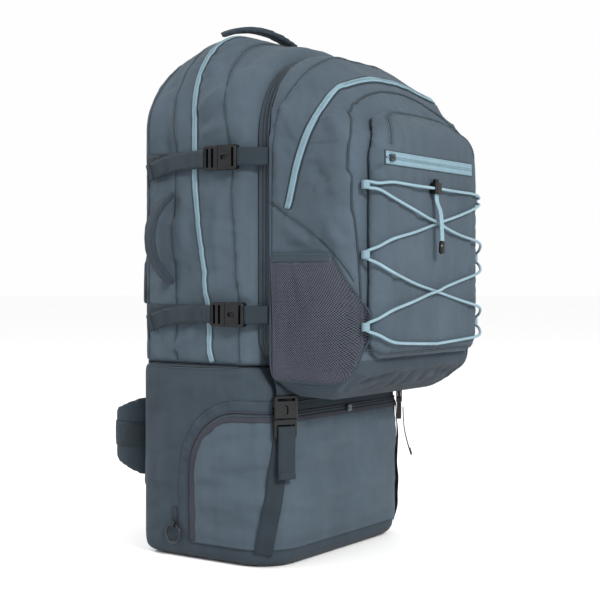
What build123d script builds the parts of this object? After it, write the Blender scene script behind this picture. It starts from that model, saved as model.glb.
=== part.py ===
from build123d import *

# Travel backpack with a zip-off daypack, in millimetres.
# The origin is the middle of the main bag's flat base, on the floor. The heights below are measured
# from a datum BASE_DROP above the floor, and every piece is lifted by that much when it is exported.
# +Z is up, -Y is the front, where the daypack hangs, and +Y is the wearer's back.
# +X is on the right of someone looking at the front.

import os
from math import atan2, cos, pi, radians, sin, tan

# --- driving dimensions -------------------------------------------------------------------
PACK_HALF = 174.0  # half the main bag's width
PACK_FRONT = -86.0  # front face of the main compartment
PACK_REAR = 120.0  # rear face of the main bag, under the back panel
PACK_TOP = 740.0
SHOULDER_R = 122.0  # radius of the round shoulders
SLOPE_START = 20.0  # where the top starts to fall towards the wearer's back
REAR_TOP = 690.0
BASE_DROP = 12.0
BASE_HALF = 178.0  # half the base compartment's width
BASE_FRONT = -124.0
BASE_TOP = 262.0  # seam between the base and the main compartment
FRONT_CORNER = 60.0  # radius of the base's round front corners
REAR_CORNER = 24.0

DAY_HALF = 165.0  # half the daypack's width
DAY_REAR = -98.0
DAY_FRONT = -246.0
DAY_BOTTOM = 220.0
DAY_TOP = 698.0
POCKET_HALF = 143.0
POCKET_FRONT = -270.0
POCKET_BOTTOM = 277.0
POCKET_TOP = 626.0
DAY_SHOULDER = 118.0  # radius of its round shoulders
DAY_ROUND = 30.0  # rounding of the daypack's front rim
POCKET_ROUND = 24.0
ZIP_Z = 542.0  # the pocket's own zip
ZIP_X = (-132.0, 110.0)

WEBBING = 25.0  # width of the compression and base straps
WEB_THICK = 1.5
FLAP_THICK = 2.0
FLAP_LOW = 14.0
FLAP_HIGH = 193.0
FLAP_BACK = 17.0  # the flap's rear edge on the bag's flank
STRAPS = {"upper": (550.0, -34.0), "lower": (335.0, -46.0)}  # height, y of the buckle's mouth
SIDES = {"left": -1, "right": 1}  # as seen from the front: left is -X

TAPE_THICK = 1.8
TAPE_WIDTH = 8.0
MAIN_TAPE = [(-11.0, 250), (4.0, 410), (20.0, 500), (20.0, 760)]  # its rear edge, as (y, z)
ZIP_LEAN = 18.0  # degrees by which the daypack's main zip leans forwards
ZIP_WIDE = 6.0
GAP = 0.4  # running gap between neighbours that move apart

PANEL_FRONT = PACK_REAR + 4.0  # the frame sheet and the stays lie in the 4 mm between
PANEL_THICK = 10.0
PANEL_REAR = PANEL_FRONT + PANEL_THICK
STRAP_SIDE = [(139, 686), (145, 600), (152, 500), (157, 420), (159, 345)]  # middle line, (y, z)
STRAP_REAR = 100.0  # rear end of the compression straps
BASE_BUCKLE_Z = 194.0
CORNER_TURN = 30.0  # degrees round the front corner at which the base straps run
HIP_BUCKLE_Y = 222.0
STERNUM_Y = 168.0
STERNUM_Z = 540.0

TOP_HANDLE = {"span": 190.0, "rise": 28.0, "width": 22.0, "y": 27.0, "z": 735.0}
SIDE_HANDLE = {"span": 125.0, "rise": 46.0, "width": 24.0, "x": 176.5, "y": 50.0, "z": 441.0, "lean": 18.0}
GEAR_RING = {"radius": 13.0, "wire": 1.8, "y": 50.0, "z": 36.0}

RELEASE = 27.0  # how far a buckle's plug slides to leave its socket
SOCKET_LEN = 32.0
PLUG_BASE = 26.0
BUCKLE_THICK = 9.0


def export(piece, label):
    """Labels a finished piece and writes it as parts/label.step."""
    lift = Location((0, 0, BASE_DROP))
    solids = [lift * solid for solid in piece.children or [piece]]
    lifted = solids[0] if len(solids) == 1 else as_one(*solids)
    lifted.label = label
    export_step(lifted, f"parts/{label}.step")


def as_one(*pieces):
    """Several separate solids that share one node."""
    return Compound(children=list(pieces))


def mirrored(piece):
    """The same piece on the other side of the pack's middle plane."""
    return mirror(piece, about=Plane.YZ)


# --- outlines that several pieces share ---------------------------------------------------
def arch_outline(grow=0.0, low=BASE_TOP):
    """The main compartment seen from the front: straight sides, large round shoulders and a flat top."""
    half, top = PACK_HALF + grow, PACK_TOP + grow
    with BuildSketch() as outline:
        Polygon((-half, low), (half, low), (half, top), (-half, top), align=None)
        fillet(outline.vertices().group_by(Axis.Y)[-1], SHOULDER_R + grow)
    return outline.sketch


def base_outline(grow=0.0):
    """The base compartment seen from above: wide round front corners, smaller rear ones."""
    half, front, rear = BASE_HALF + grow, BASE_FRONT - grow, PACK_REAR + grow
    with BuildSketch() as outline:
        Polygon((-half, front), (half, front), (half, rear), (-half, rear), align=None)
        fillet(outline.vertices().group_by(Axis.Y)[0], FRONT_CORNER + grow)
        fillet(outline.vertices().group_by(Axis.Y)[-1], REAR_CORNER + grow)
    return outline.sketch


def day_outline(half, low, top, low_radius, top_radius):
    """A daypack panel seen from the front: a rectangle with larger round corners at the top."""
    with BuildSketch() as outline:
        Polygon((-half, low), (half, low), (half, top), (-half, top), align=None)
        fillet(outline.vertices().group_by(Axis.Y)[0], low_radius)
        fillet(outline.vertices().group_by(Axis.Y)[-1], top_radius)
    return outline.sketch


def front_slab(outline, rear, front):
    """An outline seen from the front, made solid between two depths."""
    with BuildPart() as slab:
        with BuildSketch(Plane.XZ.offset(-rear)):
            add(outline)
        extrude(amount=rear - front)
    return slab.part


def side_slab(points, radius, near=-200.0, far=200.0):
    """A round-cornered polygon seen from the side, (y, z), made solid between two x values."""
    with BuildPart() as slab:
        with BuildSketch(Plane.YZ.offset(near)) as profile:
            Polygon(*points, align=None)
            if radius:
                fillet(profile.vertices(), radius)
        extrude(amount=far - near)
    return slab.part


# --- main bag -----------------------------------------------------------------------------
def make_main_compartment():
    slope = [
        (PACK_FRONT, BASE_TOP),
        (PACK_REAR, BASE_TOP),
        (PACK_REAR, REAR_TOP),
        (SLOPE_START, PACK_TOP),
        (PACK_FRONT, PACK_TOP),
    ]
    with BuildPart() as bag:
        add(front_slab(arch_outline(), PACK_REAR, PACK_FRONT))
        add(side_slab(slope, 0), mode=Mode.INTERSECT)
        rims = bag.faces().filter_by(Axis.Y).edges().filter_by(lambda e: e.center().Z > BASE_TOP + 1)
        fillet(rims, REAR_CORNER)
    return bag.part


def make_base_compartment():
    slope = [
        (PACK_REAR, -BASE_DROP),
        (PACK_REAR, BASE_TOP),
        (PACK_FRONT, BASE_TOP),
        (BASE_FRONT, BASE_TOP - 57),
        (BASE_FRONT, -BASE_DROP),
    ]
    with BuildPart() as bag:
        with BuildSketch(Plane.XY.offset(-BASE_DROP)):
            add(base_outline())
        extrude(amount=BASE_TOP + BASE_DROP)
        fillet(bag.faces().sort_by(Axis.Z)[0].edges(), 20)
        add(side_slab(slope, 0), mode=Mode.INTERSECT)
    return bag.part


def flap_arch(reach):
    """The flap's arched outline seen from the side, grown upwards and backwards, as a wide slab."""
    front, high, back = BASE_FRONT - 10, FLAP_HIGH + reach, FLAP_BACK + reach
    with BuildPart() as slab:
        with BuildSketch(Plane.YZ.offset(-200)) as side:
            Polygon((front, FLAP_LOW), (back, FLAP_LOW), (back, high), (front, high), align=None)
            fillet(side.vertices().group_by(Axis.Y)[-1].sort_by(Axis.X)[-1], 80 + reach)
        extrude(amount=400)
    return slab.part


def base_skin(thickness):
    """A skin of even thickness round the base compartment."""
    with BuildPart() as skin:
        with BuildSketch(Plane.XY.offset(FLAP_LOW)):
            add(base_outline(thickness))
            add(base_outline(), mode=Mode.SUBTRACT)
        extrude(amount=FLAP_HIGH + ZIP_WIDE + 2 - FLAP_LOW)
    return skin.part


def make_base_flap():
    """The U-shaped panel that zips over the front of the base compartment."""
    with BuildPart() as flap:
        add(base_skin(FLAP_THICK))
        add(flap_arch(0), mode=Mode.INTERSECT)
    return flap.part


def make_base_zip():
    """The zip that follows the flap's arched edge."""
    with BuildPart() as tape:
        add(base_skin(1.2))
        add(flap_arch(GAP + ZIP_WIDE), mode=Mode.INTERSECT)
        add(flap_arch(GAP), mode=Mode.SUBTRACT)
    return tape.part


def make_main_zip():
    """The zip that runs up one side, over the top and down the other; its low ends lean forwards."""
    edge = [(y - TAPE_WIDTH, z) for y, z in MAIN_TAPE] + [(y, z) for y, z in reversed(MAIN_TAPE)]
    with BuildPart() as tape:
        with BuildSketch(Plane.XZ.offset(-SLOPE_START)):
            add(arch_outline(TAPE_THICK, BASE_TOP + 1))
            add(arch_outline(0, BASE_TOP), mode=Mode.SUBTRACT)
        extrude(amount=60)
        add(side_slab(edge, 0), mode=Mode.INTERSECT)
    return tape.part


def make_attach_tape(rear, front):
    """Half of the zip that joins the daypack to the main bag, a closed ring 6 mm wide."""
    outer = day_outline(DAY_HALF - 5, 266, DAY_TOP - 5, 40, DAY_SHOULDER - 5)
    inner = day_outline(DAY_HALF - 11, 272, DAY_TOP - 11, 34, DAY_SHOULDER - 11)
    with BuildPart() as tape:
        add(front_slab(outer, rear, front))
        add(front_slab(inner, rear + 1, front - 1), mode=Mode.SUBTRACT)
    return tape.part


# --- back system --------------------------------------------------------------------------


def back_outline(half, low, top):
    with BuildSketch() as outline:
        Polygon((-half, low), (half, low), (half - 30, top), (30 - half, top), align=None)
        fillet(outline.vertices(), 24)
    return outline.sketch


def make_back_panel():
    """Foam and mesh panel with an air channel down the middle."""
    with BuildPart() as panel:
        add(front_slab(back_outline(156, 66, 680), PANEL_REAR, PANEL_FRONT))
        with BuildSketch(Plane.XZ.offset(-PANEL_REAR)):
            with Locations((0, 430)):
                SlotOverall(400, 34, rotation=90)
        extrude(amount=6, mode=Mode.SUBTRACT)
    return panel.part


def make_frame_sheet():
    return front_slab(back_outline(142, 80, 664), PACK_REAR + 1.6, PACK_REAR + 0.1)


def make_frame_stays():
    """Two flat aluminium stays behind the frame sheet."""
    with BuildPart() as stays:
        with BuildSketch(Plane.XZ.offset(-(PACK_REAR + 3.9))):
            with Locations((-62, 372), (62, 372)):
                SlotOverall(540, 20, rotation=90)
        extrude(amount=2.2)
    return stays.part


def make_lumbar_pad():
    with BuildPart() as pad:
        with BuildSketch(Plane.XZ.offset(-(PANEL_REAR + 12))):
            with Locations((0, 150)):
                RectangleRounded(176, 132, 28)
        extrude(amount=12 - GAP)
        fillet(pad.faces().sort_by(Axis.Y)[-1].edges(), 5)
    return pad.part


# --- shoulder straps ----------------------------------------------------------------------


def make_shoulder_strap():
    """The right-hand strap: a curved pad 13 mm thick, cut to an S-shape as seen from behind."""
    with BuildPart() as strap:
        with BuildSketch(Plane.YZ):
            with BuildLine():
                inner = Spline(*STRAP_SIDE)
                outer = Spline(*[(y + 13, z) for y, z in STRAP_SIDE])
                Line(inner @ 0, outer @ 0)
                Line(inner @ 1, outer @ 1)
            make_face()
        extrude(amount=200)
        with BuildSketch(Plane.XZ.offset(-200)):
            with BuildLine():
                near = Spline((32, 690), (36, 600), (50, 480), (66, 345))
                far = Spline((88, 690), (92, 600), (104, 480), (112, 345))
                Line(near @ 0, far @ 0)
                Line(near @ 1, far @ 1)
            make_face()
        extrude(amount=120, mode=Mode.INTERSECT)
    return strap.part


def make_ladder_lock(web):
    """A webbing adjuster lying flat: two slots either side of a raised middle bar."""
    length, thick = 26.0, 5.0
    with BuildPart() as lock:
        with BuildSketch():
            RectangleRounded(length, web + 9, 3)
            with Locations((-5.5, 0), (5.5, 0)):
                Rectangle(5, web + 1, mode=Mode.SUBTRACT)
        extrude(amount=thick)
        chamfer(lock.faces().sort_by(Axis.Z)[-1].outer_wire().edges(), 1)
    return lock.part


def make_lower_harness_strap():
    """The right-hand webbing from the bag's rear edge up towards the shoulder strap's adjuster."""
    with BuildPart() as strap:
        with BuildSketch(Plane.YZ.offset(76.5)):
            with BuildLine():
                path = Polyline((135.5, 232), (150, 270), (159, 312))
            trace(path, WEB_THICK)
        extrude(amount=WEBBING)
    return strap.part


def make_lifter_strap():
    """The right-hand webbing from the pack's top edge to the top of the shoulder strap."""
    with BuildPart() as strap:
        with BuildSketch(Plane.YZ.offset(56)):
            with BuildLine():
                path = Polyline((95, 706.5), (117, 702), (136, 696.5))
            trace(path, WEB_THICK)
        extrude(amount=20)
    return strap.part


# --- hip belt -----------------------------------------------------------------------------
HIP_LOW, HIP_HIGH = 90.0, 208.0


def make_hip_wing():
    """The right wing: a curved foam pad that tapers towards its tip."""
    with BuildPart() as wing:
        with BuildSketch(Plane.XY.offset(HIP_LOW)):
            with BuildLine():
                path = Spline((104, 148), (129, 157), (137, 178), (124, 202))
            trace(path, 12)
        extrude(amount=HIP_HIGH - HIP_LOW)
        taper = [(118, 78), (160, 92), (236, 128), (236, 176), (160, 206), (118, 214)]
        add(side_slab(taper, 0, 50, 250), mode=Mode.INTERSECT)
    return wing.part


def make_hip_webbing():
    """The right-hand belt webbing, from the wing's tip inwards."""
    with BuildPart() as webbing:
        with BuildSketch(Plane.XY.offset(152 - 19)):
            with BuildLine():
                path = Polyline((112, 210), (103, 218.5), (84, HIP_BUCKLE_Y))
            trace(path, 2)
        extrude(amount=38)
    return webbing.part


# --- buckles ------------------------------------------------------------------------------
# A buckle lies in its own frame: webbing runs along X, the socket is on +X and the plug on -X.
def make_socket(web):
    """The female half: a flat housing with an open mouth, two side windows and a webbing bar."""
    scale = web / WEBBING
    length, width, wall = SOCKET_LEN * scale, web + 9, 1.8
    inner = width - 2 * 2.2
    with BuildPart() as socket:
        with BuildSketch(Plane.XY.offset(-BUCKLE_THICK / 2)) as body:
            with Locations((length / 2, 0)):
                Rectangle(length, width)
            fillet(body.vertices().group_by(Axis.X)[-1], 5)
        extrude(amount=BUCKLE_THICK)
        chamfer(socket.faces().sort_by(Axis.Z)[-1].edges(), 1.2)
        with Locations((10.5 * scale, 0)):
            Box(21 * scale, inner, BUCKLE_THICK - 2 * wall, mode=Mode.SUBTRACT)
        with Locations((11 * scale, 0)):
            Box(10 * scale, width + 2, BUCKLE_THICK - 2 * wall, mode=Mode.SUBTRACT)
        with BuildSketch(Plane.XY.offset(-BUCKLE_THICK / 2)):
            with Locations((length - 6 * scale, 0)):
                Rectangle(4, web + 1)
        extrude(amount=BUCKLE_THICK, mode=Mode.SUBTRACT)
        with BuildSketch(Plane.XY.offset(BUCKLE_THICK / 2 - wall - 1)):
            with Locations((12 * scale, 0)):
                SlotOverall(13 * scale, 6 * scale)
        extrude(amount=5, mode=Mode.SUBTRACT)
    return socket.part


def make_plug(web):
    """The male half: a ladder-lock base, two sprung arms with catches, and a guide between them."""
    scale = web / WEBBING
    base, width = PLUG_BASE * scale, web + 9
    hold = width / 2 - 2.2 - GAP  # the catches' reach, just inside the housing
    arm_end, thick = 17.5 * scale, 4.6
    with BuildPart() as plug:
        with BuildSketch(Plane.XY.offset(-3.5)) as body:
            with Locations((-base / 2 - GAP, 0)):
                Rectangle(base, width)
            fillet(body.vertices().group_by(Axis.X)[0], 4)
            with Locations((-base * 0.38, 0), (-base * 0.72, 0)):
                Rectangle(4.2, web + 1, mode=Mode.SUBTRACT)
        extrude(amount=7)
        chamfer(plug.faces().sort_by(Axis.Z)[-1].outer_wire().edges(), 1)
        with BuildSketch(Plane.XY.offset(-thick / 2)):
            for side in SIDES.values():
                Polygon(
                    (-1, side * (hold - 5.4)),
                    (arm_end, side * (hold - 5.4)),
                    (arm_end, side * (hold - 2.6)),
                    (14.5 * scale, side * hold),
                    (8 * scale, side * hold),
                    (7 * scale, side * (hold - 2.6)),
                    (-1, side * (hold - 2.6)),
                    align=None,
                )
            with Locations((8 * scale, 0)):
                Rectangle(18 * scale, 5)
        extrude(amount=thick)
    return plug.part


def side_buckle_plane(side, height, mouth_y):
    """Where a side buckle's plug meets its socket, on the main bag's flank."""
    out = PACK_HALF + TAPE_THICK + GAP + WEB_THICK + GAP + BUCKLE_THICK / 2
    return Plane(origin=(side * out, mouth_y, height), x_dir=(0, -1, 0), z_dir=(side, 0, 0))


def base_strap_plane(side, stand_off, height):
    """A plane on the base's round front corner, X up the strap and Z outwards."""
    turn = radians(CORNER_TURN)
    reach = FRONT_CORNER + stand_off
    x = side * (BASE_HALF - FRONT_CORNER + reach * sin(turn))
    y = BASE_FRONT + FRONT_CORNER - reach * cos(turn)
    return Plane(origin=(x, y, height), x_dir=(0, 0, 1), z_dir=(side * sin(turn), -cos(turn), 0))


BASE_BUCKLE_OUT = FLAP_THICK + GAP + WEB_THICK + GAP + BUCKLE_THICK / 2


def make_compression_strap(side, height, mouth_y):
    """Webbing from the rear seam forwards, ending under the plug."""
    inner = PACK_HALF + TAPE_THICK + GAP
    front = mouth_y + 8
    with BuildPart() as strap:
        with Locations((side * (inner + WEB_THICK / 2), (STRAP_REAR + front) / 2, height)):
            Box(WEB_THICK, STRAP_REAR - front, WEBBING)
    return strap.part


def make_base_strap(side):
    """Webbing from the bottom hem up the round corner, ending under the plug."""
    low, high = 15.0, BASE_BUCKLE_Z - 4
    plane = base_strap_plane(side, FLAP_THICK + GAP, low)
    with BuildPart() as strap:
        with BuildSketch(plane):
            with Locations(((high - low) / 2, 0)):
                Rectangle(high - low, WEBBING)
        extrude(amount=WEB_THICK)
    return strap.part


def make_base_tail(side):
    """The loose end of a base strap, hanging in front of the plug with a folded hem."""
    plane = base_strap_plane(side, BASE_BUCKLE_OUT + BUCKLE_THICK / 2 + GAP, BASE_BUCKLE_Z)
    with BuildPart() as tail:
        with BuildSketch(plane):
            with Locations((-50, 0)):
                Rectangle(62, WEBBING)
        extrude(amount=WEB_THICK)
        with BuildSketch(plane):
            with Locations((-77, 0)):
                Rectangle(8, WEBBING)
        extrude(amount=2.6 * WEB_THICK)
    return tail.part


def make_side_tab(side, height, mouth_y):
    """Webbing from a side socket's bar round to the daypack's rear edge."""
    x = PACK_HALF + TAPE_THICK + GAP + WEB_THICK + GAP + BUCKLE_THICK / 2
    end_y = mouth_y - SOCKET_LEN - GAP
    with BuildPart() as tab:
        with BuildSketch(Plane.XY.offset(height - WEBBING / 2)):
            with BuildLine():
                path = Polyline((side * x, end_y), (side * x, end_y - 6), (side * 167.5, DAY_REAR - 6))
            trace(path, WEB_THICK)
        extrude(amount=WEBBING)
    return tab.part


def make_base_tab(side):
    """Webbing from a base socket's bar up to the daypack's sloping rear hem."""
    plane = base_strap_plane(side, BASE_BUCKLE_OUT - WEB_THICK / 2, BASE_BUCKLE_Z + SOCKET_LEN + GAP)
    with BuildPart() as tab:
        with BuildSketch(plane):
            with Locations((1, 0)):
                Rectangle(2, WEBBING)
        extrude(amount=WEB_THICK)
    return tab.part


# --- handles ------------------------------------------------------------------------------
def make_handle(span, rise, width):
    """A bowed carry handle that stands on the XY plane, spans X and is narrower at its two ends."""
    thick, lug = 8.0, 4.0
    with BuildPart() as handle:
        with BuildSketch(Plane.XZ.offset(-width / 2)):
            with BuildLine():
                path = ThreePointArc((-span / 2, lug), (0, rise - thick / 2), (span / 2, lug))
            trace(path, thick)
        extrude(amount=width)
        half, top = width / 2, rise + 9
        narrowing = [(-lug, 0), (lug, 0), (half, 12), (half, top), (-half, top), (-half, 12)]
        add(side_slab(narrowing, 0, -span, span), mode=Mode.INTERSECT)
    return handle.part


RING_BORE = 3.2  # radius of the webbing loop that the ring hangs in
RING_LOOP = 4.4
RING_X = BASE_HALF + 0.2 + RING_LOOP


def make_gear_ring(side):
    """A round ring that hangs in its webbing loop beside the bag's flank."""
    radius = GEAR_RING["radius"]
    hang = Plane(origin=(side * RING_X, GEAR_RING["y"], GEAR_RING["z"] - radius), z_dir=(1, 0, 0))
    with BuildPart() as ring:
        with Locations(hang):
            Torus(radius, GEAR_RING["wire"])
    return ring.part


def make_ring_loop(side):
    """A short webbing loop that holds a gear ring on the flank, sewn above the ring."""
    with BuildPart() as loop:
        with BuildSketch(Plane.XZ.offset(-(GEAR_RING["y"] + 4))):
            with Locations((side * (BASE_HALF + 1.1), GEAR_RING["z"] + 12)):
                Rectangle(1.8, 24)
            with Locations((side * RING_X, GEAR_RING["z"])):
                Circle(RING_LOOP)
                Circle(RING_BORE, mode=Mode.SUBTRACT)
        extrude(amount=8)
    return loop.part


# --- daypack ------------------------------------------------------------------------------
def make_daypack_compartment():
    profile = [
        (DAY_REAR - 6, 252),
        (-136, 224),
        (-190, DAY_BOTTOM),
        (DAY_FRONT, 262),
        (DAY_FRONT, 588),
        (-196, 666),
        (-140, 700),
        (DAY_REAR - 6, DAY_TOP),
    ]
    outline = day_outline(DAY_HALF, DAY_BOTTOM, DAY_TOP, 44, DAY_SHOULDER)
    with BuildPart() as bag:
        add(front_slab(outline, DAY_REAR - 6, DAY_FRONT))
        fillet(bag.faces().sort_by(Axis.Y)[0].edges(), DAY_ROUND)
        add(side_slab(profile, 0), mode=Mode.INTERSECT)
    return bag.part


def make_front_pocket(compartment):
    slope = [(-150, 270), (POCKET_FRONT, 270), (POCKET_FRONT, 584), (-206, POCKET_TOP + 8), (-150, 700)]
    outline = day_outline(POCKET_HALF, POCKET_BOTTOM, POCKET_TOP, 28, 90)
    with BuildPart() as pocket:
        add(front_slab(outline, -170, POCKET_FRONT))
        fillet(pocket.faces().sort_by(Axis.Y)[0].edges(), POCKET_ROUND)
        add(side_slab(slope, 0), mode=Mode.INTERSECT)
        add(compartment, mode=Mode.SUBTRACT)
        with Locations((0, -210, 470)):
            Box(4 * POCKET_HALF, 72, 900, mode=Mode.SUBTRACT)
    return pocket.part


def make_mesh_pocket(side):
    """An open-topped pocket that stands 9 mm off the daypack's flank."""
    depth, wall = 10.5, 1.5
    outline = [(-106, 246), (-106, 420), (-196, 418), (-226, 350), (-226, 262), (-210, 246)]
    cavity = [(-107.5, 248), (-107.5, 430), (-192, 430), (-224.5, 349), (-224.5, 263), (-209, 248)]
    near, far = (DAY_HALF, DAY_HALF + depth) if side > 0 else (-DAY_HALF - depth, -DAY_HALF)
    hollow = (near - 1, far - wall) if side > 0 else (near + wall, far + 1)
    with BuildPart() as pocket:
        add(side_slab(outline, 0, near, far))
        add(side_slab(cavity, 0, *hollow), mode=Mode.SUBTRACT)
    return pocket.part


def make_daypack_tape():
    """The coloured zip round the daypack's main opening, in a plane that leans forwards."""
    grow = TAPE_THICK
    tilt = radians(ZIP_LEAN)
    lean = Plane(origin=(0, -150, 530), x_dir=(1, 0, 0), z_dir=(0, -cos(tilt), -sin(tilt)))
    with BuildPart() as tape:
        with BuildSketch(lean):
            Rectangle(500, 600)
        extrude(amount=7)
        skin = day_outline(DAY_HALF + grow, 490, DAY_TOP + grow, 1, DAY_SHOULDER + grow)
        add(front_slab(skin, -110, -200), mode=Mode.INTERSECT)
        core = day_outline(DAY_HALF, 400, DAY_TOP, 44, DAY_SHOULDER)
        add(front_slab(core, -90, -220), mode=Mode.SUBTRACT)
    return tape.part


def make_pocket_zip():
    """The front pocket's zip: a tape with a raised coil down its middle."""
    middle = (ZIP_X[0] + ZIP_X[1]) / 2
    length = ZIP_X[1] - ZIP_X[0]
    with BuildPart() as tape:
        with BuildSketch(Plane.XZ.offset(-POCKET_FRONT)):
            with Locations((middle, ZIP_Z)):
                Rectangle(length, 16)
        extrude(amount=0.8)
        with BuildSketch(Plane.XZ.offset(-POCKET_FRONT)):
            with Locations((middle, ZIP_Z)):
                Rectangle(length, 4)
        extrude(amount=2.0)
    return tape.part


def make_slider(clear):
    """A zip slider in its own frame: a body along X that straddles a coil 4 mm wide, Z outwards."""
    with BuildPart() as slider:
        with BuildSketch():
            RectangleRounded(11, 9, 2.5)
        extrude(amount=4)
        with Locations((0, 0, clear / 2)):
            Box(12, 4.6, clear, mode=Mode.SUBTRACT)
        with Locations((0, 0, 4.6)):
            Box(5, 2.4, 1.2)
    return slider.part


# The elastic cord zigzags over the front pocket, held by three webbing loops on each side.
CORD_R = 2.0
LOOP_X = 153.0
LOOP_Y = -252.0
EDGE_X = 128.0  # where the cord bends over the pocket's round edge
EDGE_Y = -274.8
REAR_Y = POCKET_FRONT - CORD_R - 1.0  # depth of the stretch that runs behind at a crossing
FRONT_Y = REAR_Y - 2 * CORD_R - 0.5
LOOP_Z = {"top": 506.0, "middle": 415.0, "bottom": 321.0}
LOCK_X = -8.0
LOCK_Y = EDGE_Y - 1.6
LOCK_Z = 508.0


def loop_turn(side, level, above, below):
    """The cord's way over the pocket's edge, round inside a webbing loop and back again."""
    z = LOOP_Z[level]
    return [
        (side * EDGE_X, EDGE_Y, z + above),
        (side * LOOP_X, LOOP_Y, z + 4.2),
        (side * LOOP_X, LOOP_Y, z - 4.2),
        (side * EDGE_X, EDGE_Y, z - below),
    ]


def cord_run(points):
    """One stretch of elastic cord as a round tube of straight runs and small arcs."""
    with BuildPart() as run:
        with BuildLine() as path:
            FilletPolyline(*points, radius=3.6)
        with BuildSketch(Plane(origin=path.line @ 0, z_dir=path.line % 0)):
            Circle(CORD_R)
        sweep()
    return run.part


def make_bungee():
    """Two stretches of one cord, which cross over each other twice between the webbing loops."""
    behind = [(LOCK_X + 9.5, LOCK_Y, LOCK_Z)]
    behind += loop_turn(1, "top", 3, 12)
    behind += [(2, REAR_Y, 460)]
    behind += loop_turn(-1, "middle", 12, 12)
    behind += [(4, REAR_Y, 366)]
    behind += loop_turn(1, "bottom", 12, 12)
    behind += [(70, REAR_Y - 1, 298), (0.6, REAR_Y - 1, 294)]
    before = [(LOCK_X - 9.5, LOCK_Y, LOCK_Z)]
    before += loop_turn(-1, "top", 3, 12)
    before += [(-2, FRONT_Y, 461)]
    before += loop_turn(1, "middle", 12, 12)
    before += [(-4, FRONT_Y, 367)]
    before += loop_turn(-1, "bottom", 12, 12)
    before += [(-70, REAR_Y - 1, 298), (-0.6, REAR_Y - 1, 294)]
    return as_one(cord_run(behind), cord_run(before))


TAIL_Y = FRONT_Y - 8.0
TAIL_END_Z = LOCK_Z - 72.0


def bend_radii(points):
    """For a free cord: an arc at each corner as large as 0.45 of its shorter run allows."""
    radii = []
    for before, corner, after in zip(points, points[1:], points[2:]):
        run_in = Vector(*corner) - Vector(*before)
        run_out = Vector(*after) - Vector(*corner)
        half_turn = radians(run_in.get_angle(run_out) / 2)
        radii.append(0.45 * min(run_in.length, run_out.length) / tan(half_turn))
    return radii


def tail_route(side):
    """One strand of the doubled tail, from under the cord lock down to the cord end."""
    x = LOCK_X + 2.3 * side
    return [
        (x, LOCK_Y, LOCK_Z - 7.5),
        (x, LOCK_Y, LOCK_Z - 18.0),
        (x - 2.0, TAIL_Y + 0.8, LOCK_Z - 32.0),
        (x - 1.6, TAIL_Y - 0.4, LOCK_Z - 53.0),
        (x + 0.4, TAIL_Y, TAIL_END_Z),
    ]


def make_bungee_tail():
    """The cord's doubled free end, two strands that hang from the cord lock, and its moulded end."""
    pieces = []
    for side in SIDES.values():
        points = tail_route(side)
        with BuildPart() as strand:
            with BuildLine() as path:
                FilletPolyline(*points, radius=bend_radii(points))
            with BuildSketch(Plane(origin=path.line @ 0, z_dir=path.line % 0)):
                Circle(CORD_R)
            sweep()
        pieces.append(strand.part)
    with BuildPart() as cord_end:
        with Locations((LOCK_X + 0.4, TAIL_Y, TAIL_END_Z - 9)):
            Box(11, 6, 18)
        fillet(cord_end.edges().filter_by(Axis.Z), 2.5)
    pieces.append(cord_end.part)
    return as_one(*pieces)


def make_bungee_loops():
    """Six webbing loops sewn into the pocket's edge, each beside a turn of the cord."""
    loops = []
    for side in SIDES.values():
        for z in LOOP_Z.values():
            with BuildPart() as loop:
                with Locations((side * (LOOP_X + 4.2), LOOP_Y + 4, z)):
                    Box(3, 10, 12)
            loops.append(loop.part)
    return as_one(*loops)


def make_lock_body():
    """A barrel cord lock: a square case with a bore for the spring plunger, open at the top."""
    with BuildPart() as case:
        with Locations((LOCK_X, LOCK_Y, LOCK_Z)):
            Box(17, 11, 15)
        fillet(case.edges().filter_by(Axis.Z), 3)
        with BuildSketch(Plane.XY.offset(LOCK_Z + 7.5)):
            with Locations((LOCK_X, LOCK_Y)):
                Circle(4.4)
        extrude(amount=-12, mode=Mode.SUBTRACT)
    return case.part


def make_lock_plunger():
    """The button that is pressed down into the case to free the cord."""
    with BuildPart() as plunger:
        with BuildSketch(Plane.XY.offset(LOCK_Z + 1.0)):
            with Locations((LOCK_X, LOCK_Y)):
                Circle(4.2)
        extrude(amount=12)
        fillet(plunger.faces().sort_by(Axis.Z)[-1].edges(), 1.5)
    return plunger.part


def placed(piece, *planes):
    """Copies of a piece, one on each plane."""
    copies = [plane.location * piece for plane in planes]
    return copies[0] if len(copies) == 1 else as_one(*copies)


os.makedirs("parts", exist_ok=True)

# --- main bag and back system -------------------------------------------------------------
export(make_main_compartment(), "main_compartment")
export(make_base_compartment(), "base_compartment")
export(make_base_flap(), "base_flap")
export(make_base_zip(), "base_zip")
export(make_main_zip(), "main_zip")
export(make_attach_tape(PACK_FRONT - 0.1, PACK_FRONT - 5.8), "joining_zip_rear")
export(make_back_panel(), "back_panel")
export(make_frame_sheet(), "frame_sheet")
export(make_frame_stays(), "frame_stays")
export(make_lumbar_pad(), "lumbar_pad")

# --- shoulder harness ---------------------------------------------------------------------
shoulder_strap = make_shoulder_strap()
export(shoulder_strap, "shoulder_strap_right")
export(mirrored(shoulder_strap), "shoulder_strap_left")

adjuster = placed(make_ladder_lock(WEBBING), Plane(origin=(89, 163, 329), x_dir=(0, 0, 1), z_dir=(0, 1, 0)))
export(adjuster, "shoulder_adjuster_right")
export(mirrored(adjuster), "shoulder_adjuster_left")

lower_strap = make_lower_harness_strap()
lifter_strap = make_lifter_strap()
harness = [lower_strap, mirrored(lower_strap), lifter_strap, mirrored(lifter_strap)]
export(as_one(*harness), "harness_webbing")

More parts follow.
